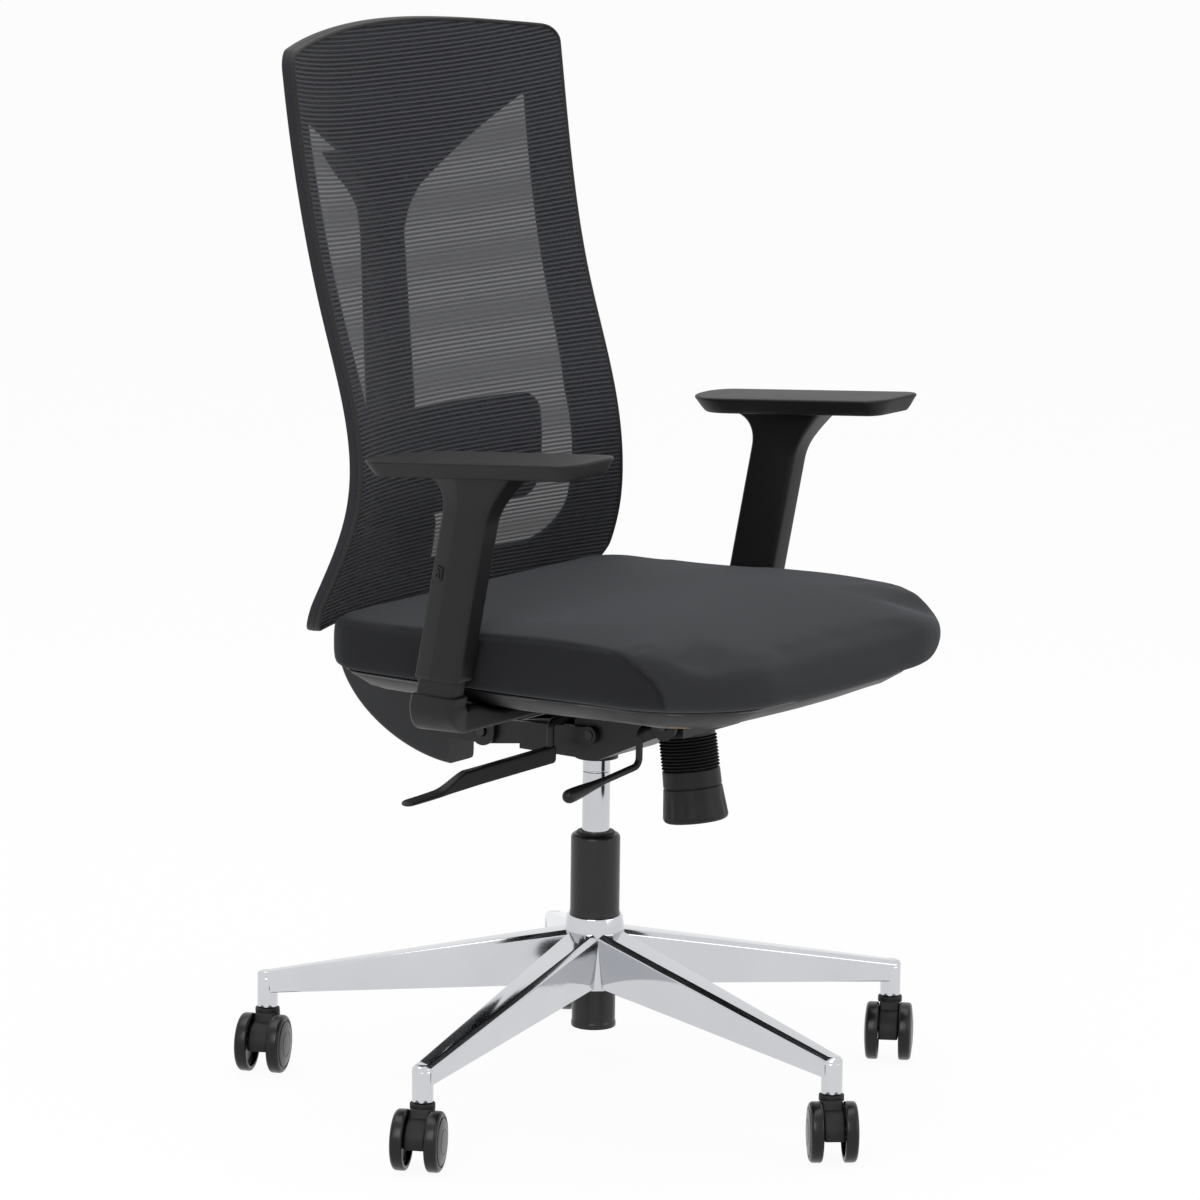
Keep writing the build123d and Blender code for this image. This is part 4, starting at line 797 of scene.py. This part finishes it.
# edging: a wrapped section carried round the outline, from just over the mesh's face back over the frame's rim
def backEdging():
    b = back
    count = 520
    loop = fullOutline(count)
    profile = roundedLoop([(2.2, 0.9), (1.2, -0.3), (-0.7, 0.7), (-1.3, 6.0), (-0.9, 6.6), (-1.4, 7.2), (-1.5, 15.6),
                           (3.0, b.wrap), (8.0, 17.2), (8.0, 14.5), (3.2, 13.5), (3.2, 2.0)],
                          [0.3, 0.6, 1.2, 0.3, 0.2, 0.3, 2.2, 1.2, 0.3, 0.3, 1, 0.5], 5)
    run = unit(np.roll(loop, -1, 0) - np.roll(loop, 1, 0))
    inward = np.stack([-run[:, 1], run[:, 0]], 1)
    spots = loop[:, None] + inward[:, None] * profile[None, :, :1]
    at = loop[:, None] + inward[:, None] * np.maximum(profile[None, :, :1], 0)
    y = backY(at[..., 0], at[..., 1]) + profile[None, :, 1]
    grid = np.stack([spots[..., 0], y, spots[..., 1]], -1)
    length = np.r_[0, np.cumsum(np.linalg.norm(np.diff(loop, axis=0), axis=1))]
    band = np.where(profile[:, 0] < 2.5, profile[:, 1] / b.wrap, 1.2)
    marks = {"band": np.broadcast_to(band, grid.shape[:2]), "run": np.repeat(length[:, None], len(profile), 1)}
    return makePiece("backEdging", [(grid, "rc")], edgeFabric, [], 0, False, marks, "back")


# frame: closed section between the outline and the window, both walked in step from foot to crown
def backFrame():
    b = back
    zs = b.seatZ
    n = [30, 24, 150, 24, 60]
    bottom, flank, crown = halfOutline()
    outer = np.concatenate([evenly(bottom, n[0] + n[1], False)[:-1], evenly(flank, n[2], False)[:-1],
                            evenly(crown, n[3] + n[4], False)])
    w = np.array([(x, z + zs) for x, z in b.window], float)
    tip, top, waist, foot = w
    arc = roundedLoop([(0, foot[1]), foot, waist], [0, b.windowCorner, 0], 12, False)[13:26]
    wBottom = np.concatenate([np.linspace((0, foot[1]), arc[0], n[0])[:-1], arc])
    crest = roundedLoop([waist, top, tip, (0, tip[1])], [0, 6, 5, 0], 12, False)[13:39]
    side = np.concatenate([arc[-1:], [waist], crest[:7]])
    wTop = np.concatenate([crest[6:], [(0, tip[1])]])
    inner = np.concatenate([evenly(wBottom, n[0] + n[1], False)[:-1], evenly(side, n[2], False)[:-1],
                            evenly(wTop, n[3] + n[4], False)])
    outer, inner = (np.concatenate([half, (half * [-1, 1])[-2:0:-1]]) for half in (outer, inner))
    t = np.r_[0.012, 0.03, np.linspace(0.08, 0.92, 12), 0.97, 0.99]
    skin = mix(outer[:, None], inner[:, None], t[None, :, None])
    x, z = skin[..., 0], skin[..., 1]
    depth = np.sqrt(np.clip(1 - np.abs(2 * t - 1) ** 14, 0, 1)) * 0.5
    frontY = backY(x, z, b.frameOffset) + b.frameThick * (0.5 - depth)
    rearY = backY(x, z, b.frameOffset) + b.frameThick * (0.5 + depth * (1 + 0.10 * np.sin(np.pi * t)))
    front, rear = np.stack([x, frontY, z], -1), np.stack([x, rearY, z], -1)
    ring = np.concatenate([front, rear[:, ::-1]], 1)
    return makePiece("backFrame", [(ring, "rc")], framePlastic, ["back_frame"], 45)


spine = Values(half=22.0, carrier=171.0, footZ=317.5, shelfZ=384.5, front=246.0, neck=(264.0, 854.5), rear=290.0,
               heel=318.0, heelZ=424.5, bendZ=650.0, jointZ=899.5, topZ=941.5, kneeZ=531.5, lean=18.0, leanZ=555.0,
               spread=[(424, 0), (480, 9), (540, 12), (590, 10), (640, 0), (850, 0), (862, 0.8), (876, 3.5),
                       (885, 7.5), (890, 11.5), (899, 18.5), (906, 26), (915, 37), (930, 51), (941.5, 61)])


# spine: a squarish section at each station between its front and rear lines; it spreads into the top panel's V
def backSpine():
    s = spine
    behind = back.dish + back.frameOffset + back.frameThick + 0.3
    z = np.linspace(s.heelZ, s.topZ, 180)
    foreZ = [s.heelZ, s.leanZ, s.bendZ, s.neck[1], s.jointZ, s.topZ]
    foreY = [s.front, s.front - s.lean, s.front, s.neck[0], sideY(s.jointZ) + behind, sideY(s.topZ) + behind]
    heel, top = (s.heel, s.heelZ), (s.rear + 4, s.topZ)
    rise = np.concatenate([hermite(heel, (s.rear - 11, s.kneeZ + 90), (-0.1, 1), (0.03, 1), 40), [top]])
    fore = np.concatenate([hermite((s.carrier, s.shelfZ), (s.front, s.heelZ), (1, 0.05), (0.1, 1), 50)[:-1],
                           np.stack([np.interp(z, foreZ, foreY), z], 1)])
    aft = np.concatenate([hermite((s.carrier, s.footZ), heel, (1, 0.05), (0.1, 1), 50)[:-1],
                          np.stack([np.interp(z, rise[:, 1], rise[:, 0]), z], 1)])
    q = np.linspace(0, 2 * np.pi, 72, endpoint=False)
    across, along = (np.sign(w) * np.abs(w) ** 0.16 for w in (np.cos(q), np.sin(q)))
    side = mix(fore[:, None], aft[:, None], (along[None, :, None] + 1) / 2)
    half = s.half + np.interp(side[..., 1], *np.array(s.spread, float).T)
    grid = np.concatenate([(half * across)[..., None], side], -1)
    return makePiece("backSpine", [(grid, "ce")], spinePlastic, ["back_spine"], 50)


# lumbar pad: a rounded plate that follows the dish behind the mesh, with a raised lip and its sliding tongue
def lumbarPad():
    wide, low, high = 139.0, 573.5, 684.5
    plan = roundedLoop([(-wide, low), (wide, low), (wide, high), (-wide, high)], 20, 12)
    plan = evenly(plan, 260)
    middle = np.array([0, (low + high) / 2])
    share = np.r_[0.0, 0.25, 0.5, 0.75, 0.9, 0.955, 0.985, 1.0, 1.0, 0.985, 0.955, 0.9, 0.75, 0.5, 0.25, 0.0]
    depth = np.r_[12.6, 12.5, 12.4, 12.2, 11.9, 12.2, 12.9, 14.5, 18.5, 20.2, 20.8, 21, 21, 21, 21, 21]
    spots = middle + (plan[None] - middle) * share[:, None, None]
    y = backY(spots[..., 0], spots[..., 1], 0) + depth[:, None]
    plate = np.stack([spots[..., 0], y, spots[..., 1]], -1)
    tongue = stacked(roundedLoop([(-12, 611), (12, 611), (12, 647), (-12, 647)], 3, 4),
                     [(0.8, 195.0), (0, 196.5), (0, 250.2), (0.8, 251.7)])[..., [0, 2, 1]]
    return makePiece("lumbarPad", [(plate, "c"), (tongue, "ce")], framePlastic, ["lumbar_pad"], 50)


backSheet = backMesh()
backEdging()
backFrame()
backSpine()
lumbarPad()
print("backrest made")

# seat
seat = Values(half=247.0, front=307.0, rear=169.0, frontCorner=118.0, rearCorner=45.0, low=451.8, rimZ=451.5,
              floorZ=424.5, rimInset=18.0, floorInset=58.0, chine=(52.0, 431.0), edgeRound=11.0, dip=4.5,
              noseRise=34.0, turnFrom=12.0, turnOver=46.0, voxel=0.0055, pressure=2.2, cap=4.0,
              pull=[(0, 24), (26, 32), (45, 31), (60, 26), (85, 11), (90, 9)],
              roof=[(-307, 41), (-296, 45.5), (-280, 50), (-250, 55.8), (-200, 61.5), (-140, 64), (-40, 60), (56, 55),
                    (169, 54)],
              seam=[(-236, -12), (-237, 3), (-240, 12), (-240, 22), (-234, 33), (-219, 46), (-202, 55), (-186, 60),
                    (-168, 62)])
roofZ = splineThrough([y for y, z in seat.roof], [z for y, z in seat.roof])


# front-to-back place that the roof curve is read at: round the front corners it turns into the distance from the edge
def frontPlace(x, y):
    s = seat
    dx, dy = np.abs(x) - s.half + s.frontCorner, -y - s.front + s.frontCorner
    angle = np.degrees(np.arctan2(np.maximum(dy, 0), np.maximum(dx, 1e-3)))
    share = ease((angle - s.turnFrom) / s.turnOver) * (dx > 0) * (dy > 0)
    return mix(y, s.frontCorner - np.hypot(dx, dy) - s.front, share)


# plan of the seat at an inset: a rectangle with wide front corners, drawn in by half as much at the rear
def seatPlan(depth, count=260, draw=0.0):
    wide, front, rear = seat.half - depth, -seat.front + depth + draw, seat.rear - depth / 2
    frontRound, rearRound = max(seat.frontCorner - depth, 4), max(seat.rearCorner - depth / 2, 4)
    corners = [(wide, rear), (-wide, rear), (-wide, front), (wide, front)]
    loop = roundedLoop(corners, [rearRound, rearRound, frontRound, frontRound], 24)
    return evenly(loop, count)


# lower edge drawn in round the front: the pull is read by the angle from side to front and fades along both
def edgePull(x, y):
    s = seat
    dx, dy = np.abs(x) - s.half + s.frontCorner, -y - s.front + s.frontCorner
    cx, cy = np.maximum(dx, 1e-6), np.maximum(dy, 0)
    amount = np.interp(np.degrees(np.arctan2(cy, cx)), *np.array(s.pull, float).T)
    amount = amount * ease((-y - 40) / 140) * np.where(dx > 0, 1, ease((np.abs(x) - 20) / 109))
    return np.stack([-np.sign(x) * cx, cy], -1) / np.hypot(cx, cy)[..., None] * amount[..., None]


# shell: a bowl of plan loops from the rim's lip down a rounded flank to its floor, and back up inside
def seatShell():
    s = seat
    flank = roundedLoop([(s.rimInset, s.rimZ - 2), s.chine, (s.floorInset + 14, s.floorZ)], [0, 30, 0], 8, False)
    flank = flank[8:19].tolist()
    layers = [(s.rimInset + 3.0, s.rimZ - 1), (s.rimInset + 2.2, s.rimZ - 0.1), (s.rimInset + 0.6, s.rimZ - 0.1),
              (s.rimInset - 0.2, s.rimZ - 1.0)] + flank + [(s.floorInset + 14, s.floorZ)]
    inner = [(s.floorInset + 14, s.floorZ + 2.4), (s.floorInset + 4, s.floorZ + 2.6),
             (s.floorInset - 12, s.floorZ + 8), (s.rimInset + 6.0, s.rimZ - 6)]
    rows = []
    for d, z in layers + inner:
        loop = seatPlan(d)
        loop = loop + edgePull(*loop.T) * 0.62
        rows.append(raised(loop, z))
    # the floor closes in to the opening round the steel plate
    plate = roundedLoop([(75.5, 130.5), (-75.5, 130.5), (-75.5, -150.5), (75.5, -150.5)], 4, 6)
    plate = evenly(plate, 260)
    k = len(layers)
    shift = np.argmin(np.linalg.norm(unit(plate) - unit(rows[0][:1, :2]), axis=1))
    plate = np.roll(plate, -shift, 0)
    rows = rows[:k] + [raised(plate, s.floorZ), raised(plate, s.floorZ + 2.4)] + rows[k:]
    return makePiece("seatShell", [(np.stack(rows), "rc")], shellPlastic, ["seat_shell"], 50)


# cushion: plan loops go from the flat underside out, up the side wall and over the rounded edge, then shrink
# towards the middle on a roof that is a curve of front-to-back place
def cushionGrid():
    s = seat
    rows = []
    start = 1.5
    for d, z in [(60, 0.4), (30, 0.2), (12, 0.3), (5, 1.4), (1.6, 4.6)]:
        loop = seatPlan(d + start)
        rows.append(raised(loop, s.low + z))
    edge = seatPlan(start)
    rise = np.maximum(roofZ(frontPlace(*edge.T)) - s.edgeRound, 9.0)
    for f in np.linspace(0, 1, 9):
        rows.append(raised(edge, s.low + mix(9.0, rise, f)))
    for q in np.linspace(0, 1, 8)[1:]:
        loop = seatPlan(start + s.edgeRound * (1 - np.cos(q * np.pi / 2)))
        z = np.maximum(roofZ(frontPlace(*loop.T)), 12) - s.edgeRound * (1 - np.sin(q * np.pi / 2))
        rows.append(raised(loop, s.low + z))
    last = rows[-1]
    middle = np.array([0, -70.0])
    for f in np.linspace(0, 1, 26)[1:]:
        flat = mix(last[:, :2], middle, f)
        z = roofZ(frontPlace(*flat.T)) + 3.0 * ease(f * 1.6) - 1.2
        rows.append(raised(flat, s.low + z))
    grid = np.stack(rows)
    height = np.clip((grid[..., 2] - s.low) / 26, 0, 1)
    under = 1 - np.clip((grid[..., 2] - s.low) / s.noseRise, 0, 1)
    grid[..., :2] += edgePull(*np.moveaxis(grid[..., :2], -1, 0)) * (1 - np.cbrt(1 - under**3))[..., None]
    low = (1 - height) ** 3 * ease((16 - edgeShare(grid.reshape(-1, 3))) / 8).reshape(height.shape)
    grid[..., 2] -= s.dip * low * bell(grid[..., 0], 150) * ease((-grid[..., 1] - 240) / 50)
    return grid


# seam's signed distance on the side wall: along under the top edge, then down round the front corner
def seamField(co):
    s = seat
    x, y, z = co.T
    top = np.linspace(-150, 260, 42)
    line = np.concatenate([s.seam, np.stack([top, roofZ(top) - 3.0], 1)])
    line = evenly(line, 200, False)
    spot = np.stack([y, z - s.low], 1)
    gap = np.full(len(co), 1e9)
    for part in np.array_split(line, 10):
        gap = np.minimum(gap, np.linalg.norm(spot[:, None] - part[None], axis=2).min(1))
    under = (z - s.low < roofZ(y) - 3.0) & (y > np.interp(z - s.low, *np.array(s.seam, float).T[::-1]))
    return np.where(under, -gap, gap)


# distance in from the plan outline: by the arc's radius in a corner, else from the nearer straight edge
def edgeShare(co):
    x, y, z = co.T
    s = seat
    corner = np.where(y < -60, s.frontCorner, s.rearCorner)
    cx, cy = s.half - corner, np.where(y < -60, -s.front + corner, s.rear - corner)
    dx, dy = np.abs(x) - cx, np.where(y < -60, cy - y, y - cy)
    inCorner = (dx > 0) & (dy > 0)
    reach = np.where(inCorner, np.hypot(np.maximum(dx, 0), np.maximum(dy, 0)), np.maximum(dx, dy))
    return corner - reach


# cushion: remeshed, swelled as cloth, smoothed, then drawn in along the seam by a bell of its distance
def seatCushion():
    s = seat
    piece = makePiece("seatCushion", [(cushionGrid(), "ce")], seatFabric, ["seat_cushion"], 0)
    remesh = piece.modifiers.new("remesh", "REMESH")
    remesh.mode, remesh.voxel_size, remesh.use_smooth_shade = "VOXEL", s.voxel, True
    applyModifiers(piece)
    smoothed(piece, 3)
    start = coordsOf(piece.data)
    inflate(piece, start)
    smoothed(piece, 9)
    finer = piece.modifiers.new("finer", "SUBSURF")
    finer.levels = finer.render_levels = 1
    applyModifiers(piece)
    co = coordsOf(piece.data)
    gap, rim = seamField(co), edgeShare(co)
    onWall = ease((13 - rim) / 5)
    # seam line, marked for the cloth's painted shade in the crease
    seam = bell(gap, 2.2) * onWall
    normals = np.empty(len(piece.data.vertices) * 3, np.float32)
    piece.data.vertex_normals.foreach_get("vector", normals)
    co = co - normals.reshape(-1, 3) * (1.7 * bell(gap, 2.6) * onWall - 0.5 * bell(gap - 5, 2.5) * onWall)[:, None]
    co[:, 2] = np.where((co[:, 2] < s.low + 0.2) & (rim > 14), s.low + 0.1, co[:, 2])
    piece.data.vertices.foreach_set("co", (co * mm).astype(np.float32).ravel())
    # side wall below the seam, marked for the cloth's painted shade
    side = ease(0.5 - gap / 1.2) * onWall
    for key, values in (("seam", seam), ("sidePanel", side)):
        piece.data.attributes.new(key, "FLOAT", "POINT").data.foreach_set("value", values.astype(np.float32))
    piece.data.shade_smooth()
    piece.data.update()
    return piece


def smoothed(piece, times):
    calm = piece.modifiers.new("calm", "SMOOTH")
    calm.factor, calm.iterations = 0.5, times
    applyModifiers(piece)


# the evaluated mesh takes the place of the piece's own
def applyModifiers(piece):
    graph = bpy.context.evaluated_depsgraph_get()
    made = bpy.data.meshes.new_from_object(piece.evaluated_get(graph))
    old, made.name = piece.data, piece.data.name
    piece.modifiers.clear()
    if not made.materials:
        made.materials.append(old.materials[0])
    piece.data = made
    bpy.data.meshes.remove(old)


# cloth under air pressure: underside and seam held, the rest swells by no more than the cap
def inflate(piece, start):
    s = seat
    held = piece.vertex_groups.new(name="held")
    gap, rim = seamField(start), edgeShare(start)
    fixed = np.flatnonzero((start[:, 2] < s.low + 5) | ((np.abs(gap) < 3.5) & (rim < 13)))
    held.add(fixed.tolist(), 1.0, "REPLACE")
    cloth = piece.modifiers.new("cloth", "CLOTH")
    c = cloth.settings
    c.quality, c.mass = 5, 0.3
    c.tension_stiffness = c.compression_stiffness = 18
    c.shear_stiffness, c.bending_stiffness = 6, 2
    c.use_pressure, c.uniform_pressure_force = True, s.pressure
    c.effector_weights.gravity = 0
    c.vertex_group_mass = "held"
    cloth.collision_settings.use_collision = False
    cloth.point_cache.frame_start, cloth.point_cache.frame_end = 1, 20
    for step in range(1, 21):
        scene.frame_set(step)
    applyModifiers(piece)
    scene.frame_set(1)
    moved = coordsOf(piece.data) - start
    far = np.linalg.norm(moved, axis=1, keepdims=True)
    co = start + moved * np.minimum(1, s.cap / np.maximum(far, 1e-6))
    piece.data.vertices.foreach_set("co", (co * mm).astype(np.float32).ravel())
    print("cushion swelled by up to", round(float(far.max()), 1), "mm")


seatShell()
seatCushion()
print("seat made")

# armrests, built at the sitter's right and mirrored
arm = Values(x=-266.0, lean=11.0, baseY=6.0, elbowZ=410.5, elbow=40.0, gap=17.0, sleeve=208.0, width=28.0, depth=54.0,
             flare=46.0, flareWidth=44.0, flareDepth=104.0, stubWidth=22.0, stubDepth=48.0, barThick=13.6,
             barDepth=52.0, barEnd=-105.0, fill=13.0, padTilt=4.7, padForward=15.0, padWidth=88.0, padLength=256.0,
             padCorner=24.0, padInner=62.0, buttonRise=105.0, buttonBack=16.0)


# axes turned about X, as rows
def leanAxes(degrees):
    a = np.radians(degrees)
    return np.array([(1, 0, 0), (0, np.cos(a), np.sin(a)), (0, -np.sin(a), np.cos(a))])


armAxes, padAxes = leanAxes(arm.lean), leanAxes(-arm.padTilt)
armFoot = np.array([arm.x, arm.baseY, arm.elbowZ])
armTop = armFoot + armAxes[2] * (arm.elbow + arm.gap + arm.sleeve)


# sleeve: a five-sided rounded section rises along the leaning axis and flares out under the pad; hollow at its foot
def sleeveGrids():
    a = arm
    corners = np.array([(14, -27), (14, 27), (-10.5, 27), (-14, 6), (-14, -27)], float)
    section = roundedLoop(corners, [5, 5, 5, 7, 6], 6)
    d = np.r_[0, 0.6, 1.6, np.linspace(4, a.sleeve - a.flare, 24), np.linspace(a.sleeve - a.flare, a.sleeve, 20)[1:]]
    f = np.clip((d - a.sleeve + a.flare) / a.flare, 0, 1) ** 2.3
    size = np.stack([mix(1, a.flareWidth / a.width, f), mix(1, a.flareDepth / a.depth, f)], 1)
    lip = np.where(d < 1.6, 1 - 0.05 * (1 - d / 1.6), 1)
    loop = section[None] * (size * lip[:, None])[:, None]
    axes = armAxes
    level = np.tan(np.radians(a.lean))  # lower end cut level, not square to the leaning axis
    high = (d + a.elbow + a.gap)[:, None] - loop[..., 1] * level * (1 - ease(d / 120))[:, None]
    post = placed(np.concatenate([loop, high[..., None]], -1), armFoot, axes)
    normal = padAxes[2]
    off = ((post - armTop) @ normal) / (axes[2] @ normal)
    post -= (off - (d - a.sleeve)[:, None])[..., None] * axes[2] * f[:, None, None]
    inside = section * [0.84, 0.90]
    deep = np.array([[22.0], [0.4]]) + a.elbow + a.gap - inside[:, 1] * level
    cavity = np.concatenate([np.repeat(inside[None], 2, 0), deep[..., None]], -1)
    well = placed(cavity, armFoot, axes)
    return [(np.concatenate([well, post]), "ce")]


# pad: plan with round corners, its sides drawn in towards the underside, a crisp rim and a faint crown
def padGrid():
    a = arm
    w, n = a.padWidth / 2, a.padLength / 2
    loop = roundedLoop([(w, -n), (w, n), (-w, n), (-w, -n)], [a.padCorner, a.padInner, a.padCorner, a.padCorner], 16)
    loop = evenly(loop, 220)
    layers = [(13.0, 0.0), (10.6, 0.2), (9.2, 1.4), (6.0, 5.6), (2.4, 11.4), (0.5, 14.0), (0.0, 15.0), (0.2, 15.9),
              (1.0, 16.6), (2.4, 16.95), (5.0, 17.05), (10.0, 17.2), (16.0, 17.35), (21.5, 17.4)]
    grid = stacked(loop, layers)
    grid[..., 1] -= a.padForward
    return placed(grid, armTop, padAxes)


# bracket: stub, elbow and flat bar as one section that changes along a path turning inwards under the seat
def bracketGrid():
    a = arm
    axes = armAxes
    z = a.elbowZ + a.barThick / 2
    rise = np.r_[150.0, 70.0, a.elbow + 1.2, a.elbow + 0.6, a.elbow - 0.2, a.elbow - 1.0,
                 np.linspace(a.elbow - 4, 30, 4)]
    stub = armFoot + rise[:, None] * axes[2]
    q = np.linspace(0, np.pi / 2, 22)[1:]
    radius = stub[-1, 2] - z
    bend = np.stack([a.x + radius * (1 - np.cos(q)), mix(stub[-1, 1], a.baseY, ease(q / q[-1])),
                     stub[-1, 2] - radius * np.sin(q)], 1)
    bar = np.stack([np.linspace(bend[-1, 0] + 6, a.barEnd, 22), np.full(22, a.baseY), np.full(22, z)], 1)
    path = np.concatenate([stub, bend, bar])
    count = len(path)
    depth, thick = np.empty(count), np.empty(count)
    depth[:3], thick[:3] = a.stubDepth, a.stubWidth
    depth[3:len(rise)], thick[3:len(rise)] = a.depth, a.width
    depth[3], thick[3] = a.depth - 2, a.width - 2
    t = np.r_[q / q[-1], np.full(22, 1.0)]
    depth[len(rise):], thick[len(rise):] = mix(a.depth, a.barDepth, ease(t)), mix(a.width, a.barThick, ease(t))
    depth[-3:] *= [1.0, 0.985, 0.94]
    half = np.stack([depth, thick], 1) / 2
    corners = half[:, None] * np.array([(1, 1), (-1, 1), (-1, -1), (1, -1)], float)
    fill = np.r_[np.zeros(len(rise)), a.fill * ease(q / q[-1]), a.fill * (1 - ease((bar[:, 0] - bar[0, 0]) / 60))]
    corners[:, :2, 1] += fill[:, None]
    section = roundedLoop(corners, np.minimum(6.0, thick * 0.34)[:, None] * np.ones(4), 6)
    grid = carried(path, section, (0, 1, 0))
    along = unit(np.gradient(path, axis=0))
    tilt = -along[:, 1] * along[:, 2] / np.maximum(1 - along[:, 1] ** 2, 1e-6)
    grid[..., 2] -= (grid[..., 1] - path[:, None, 1]) * tilt[:, None]
    return grid


# button: a small domed key with a rim, set on the sleeve's outer rear facet
def buttonGrid():
    a = arm
    tilt = np.arctan2(3.5, 21.0)
    loop = evenly(roundedLoop([(-5, -7), (5, -7), (5, 7), (-5, 7)], 1.8, 6), 64)
    layers = [(0.3, -2.0), (0, 0.2), (0, 0.8), (0.4, 1.3), (1.2, 1.4), (1.5, 1.0), (2.2, 1.0), (3.6, 1.4)]
    grid = stacked(loop, layers)
    v, w, out = grid[..., 0], grid[..., 1], grid[..., 2]
    local = np.stack([-14 + 3.5 * (a.buttonBack - 6) / 21 - out * np.cos(tilt) + v * np.sin(tilt),
                      a.buttonBack + v * np.cos(tilt) + out * np.sin(tilt), w + a.elbow + a.gap + a.buttonRise], -1)
    return placed(local, armFoot, armAxes)


# each arm's pieces: grids, slot, finish and the angle past which an edge is sharp; the left arm mirrors the right
def armrests():
    made = {"bracket": ([(bracketGrid(), "ce")], "arm_plastic", armPlastic, 50),
            "sleeve": (sleeveGrids(), "arm_plastic", armPlastic, 50),
            "pad": ([(padGrid(), "ce")], "pad_rubber", padSkin, 60),
            "button": ([(buttonGrid(), "ce")], "arm_plastic", wheelPlastic, 50)}
    for side, tag in [(1, "right"), (-1, "left")]:
        for part, (grids, slot, finish, sharp) in made.items():
            flipped = [(points * [side, 1, 1], closes) for points, closes in grids]
            piece = makePiece(f"arm{part.capitalize()}_{tag}", flipped, finish, [f"arm_{part}_{tag}"], sharp)
            part == "pad"


armrests()
print("armrests made")

# finishes of the CAD nodes that keep their shape
kept = {
    "mechanism_black": mechanismPaint, "plain_steel": plainSteel, "bright_steel": cylinderChrome, "plywood": plywood,
    "nylon_bush": bushNylon, "lever_plastic": leverPlastic, "column_black": columnPaint, "arm_plastic": armPlastic,
}
blackened = ("pivot_pins", "link_pins", "seat_bolts")
for name, node in nodes.items():
    for place in node.material_slots:
        slotName = place.material.name.split(".")[0] if place.material else ""
        place.material = boltBlack if name in blackened else kept.get(slotName, mechanismPaint)
print("kept nodes dressed")

# floor, light and camera
studio = Values(world=0.58, key=60.0, fill=28.0, top=48.0, white=1.0, lift=0.94)


# one where a ray comes from the camera, or by way of gloss or glass
def seenDirect(tree):
    path = Sock(tree, tree.nodes.new("ShaderNodeLightPath").outputs["Is Camera Ray"])
    node = path.link.node
    seen = path.maths("MAXIMUM", path, Sock(tree, node.outputs["Is Glossy Ray"]))
    return seen.maths("MAXIMUM", seen, Sock(tree, node.outputs["Is Transmission Ray"]))


# even white surroundings, at full white only where they are seen
def makeWorld():
    world = bpy.data.worlds.new("studioWorld")
    scene.world = world
    world.use_nodes = True
    tree = world.node_tree
    backing = tree.nodes["Background"]
    backing.inputs["Color"].default_value = (1, 1, 1, 1)
    seen = seenDirect(tree)
    level = studio.world + seen * (studio.white - studio.world)
    tree.links.new(level.link, backing.inputs["Strength"])


# floor: pale diffuse sheet that takes the shadow, mostly lifted to white for the camera and for reflections
def makeFloor():
    half, low = 30.0, -0.0005
    corners = [(-half, -half, low), (half, -half, low), (half, half, low), (-half, half, low)]
    mesh = bpy.data.meshes.new("floor")
    mesh.from_pydata(corners, [], [(0, 1, 2, 3)])
    floor = bpy.data.objects.new("floor", mesh)
    scene.collection.objects.link(floor)
    made = bpy.data.materials.new("paleFloor")
    made.use_nodes = True
    tree = made.node_tree
    shader = tree.nodes["Principled BSDF"]
    shader.inputs["Roughness"].default_value = 0.9
    shader.inputs["Specular IOR Level"].default_value = 0.1
    shader.inputs["Base Color"].default_value = (0.9, 0.9, 0.9, 1)
    seen = seenDirect(tree)
    glow = seen.node("ShaderNodeEmission", Color=(1, 1, 1, 1), Strength=studio.white)
    lifted = seen.node("ShaderNodeMixShader", i0=seen * studio.lift, i1=Sock(tree, shader.outputs[0]), i2=glow)
    tree.links.new(lifted.link, tree.nodes["Material Output"].inputs["Surface"])
    mesh.materials.append(made)


# an object's matrix from its three axes, as columns, and its place
def standing(axes, place):
    rows = np.stack(axes, 1).tolist()
    return Matrix([[*row, p] for row, p in zip(rows, place)] + [[0, 0, 0, 1]])


# square lamp that faces its target
def softLight(name, place, target, size, power):
    lamp = bpy.data.lights.new(name, "AREA")
    lamp.shape, lamp.size, lamp.energy = "SQUARE", size, power
    light = bpy.data.objects.new(name, lamp)
    scene.collection.objects.link(light)
    away = unit(np.array(place) - np.array(target))
    side = unit(np.cross([0, 0, 1.0], away)) if abs(away[2]) < 0.98 else np.array([1.0, 0, 0])
    light.matrix_world = standing([side, np.cross(away, side), away], place)


# camera solved from the star base in the photograph; focal length in pixels of its 1200
def makeCamera():
    right = np.array([0.5825478, -0.81269991, 0.01252681])
    upward = np.array([0.14108994, 0.11628805, 0.98314328])
    backward = np.array([-0.80045717, -0.57096055, 0.18240713])
    place = (-4.79767, -3.42214, 1.59853)
    data = bpy.data.cameras.new("photoCamera")
    data.sensor_fit, data.sensor_width, data.lens = "HORIZONTAL", 36.0, 36.0 * 5970.8 / 1200
    data.shift_x, data.clip_end = 0.0011, 100.0
    camera = bpy.data.objects.new("photoCamera", data)
    scene.collection.objects.link(camera)
    camera.matrix_world = standing([right, upward, backward], place)
    scene.camera = camera


makeWorld()
makeFloor()
softLight("keyLight", (-3.2, -1.2, 2.6), (0, 0, 0.6), 2.2, studio.key)
softLight("fillLight", (0.8, -3.6, 1.8), (0, 0, 0.6), 2.4, studio.fill)
softLight("topLight", (0.2, 0.4, 3.6), (0, 0, 0.6), 2.6, studio.top)
makeCamera()
scene.view_settings.view_transform = "Standard"
print("studio made")
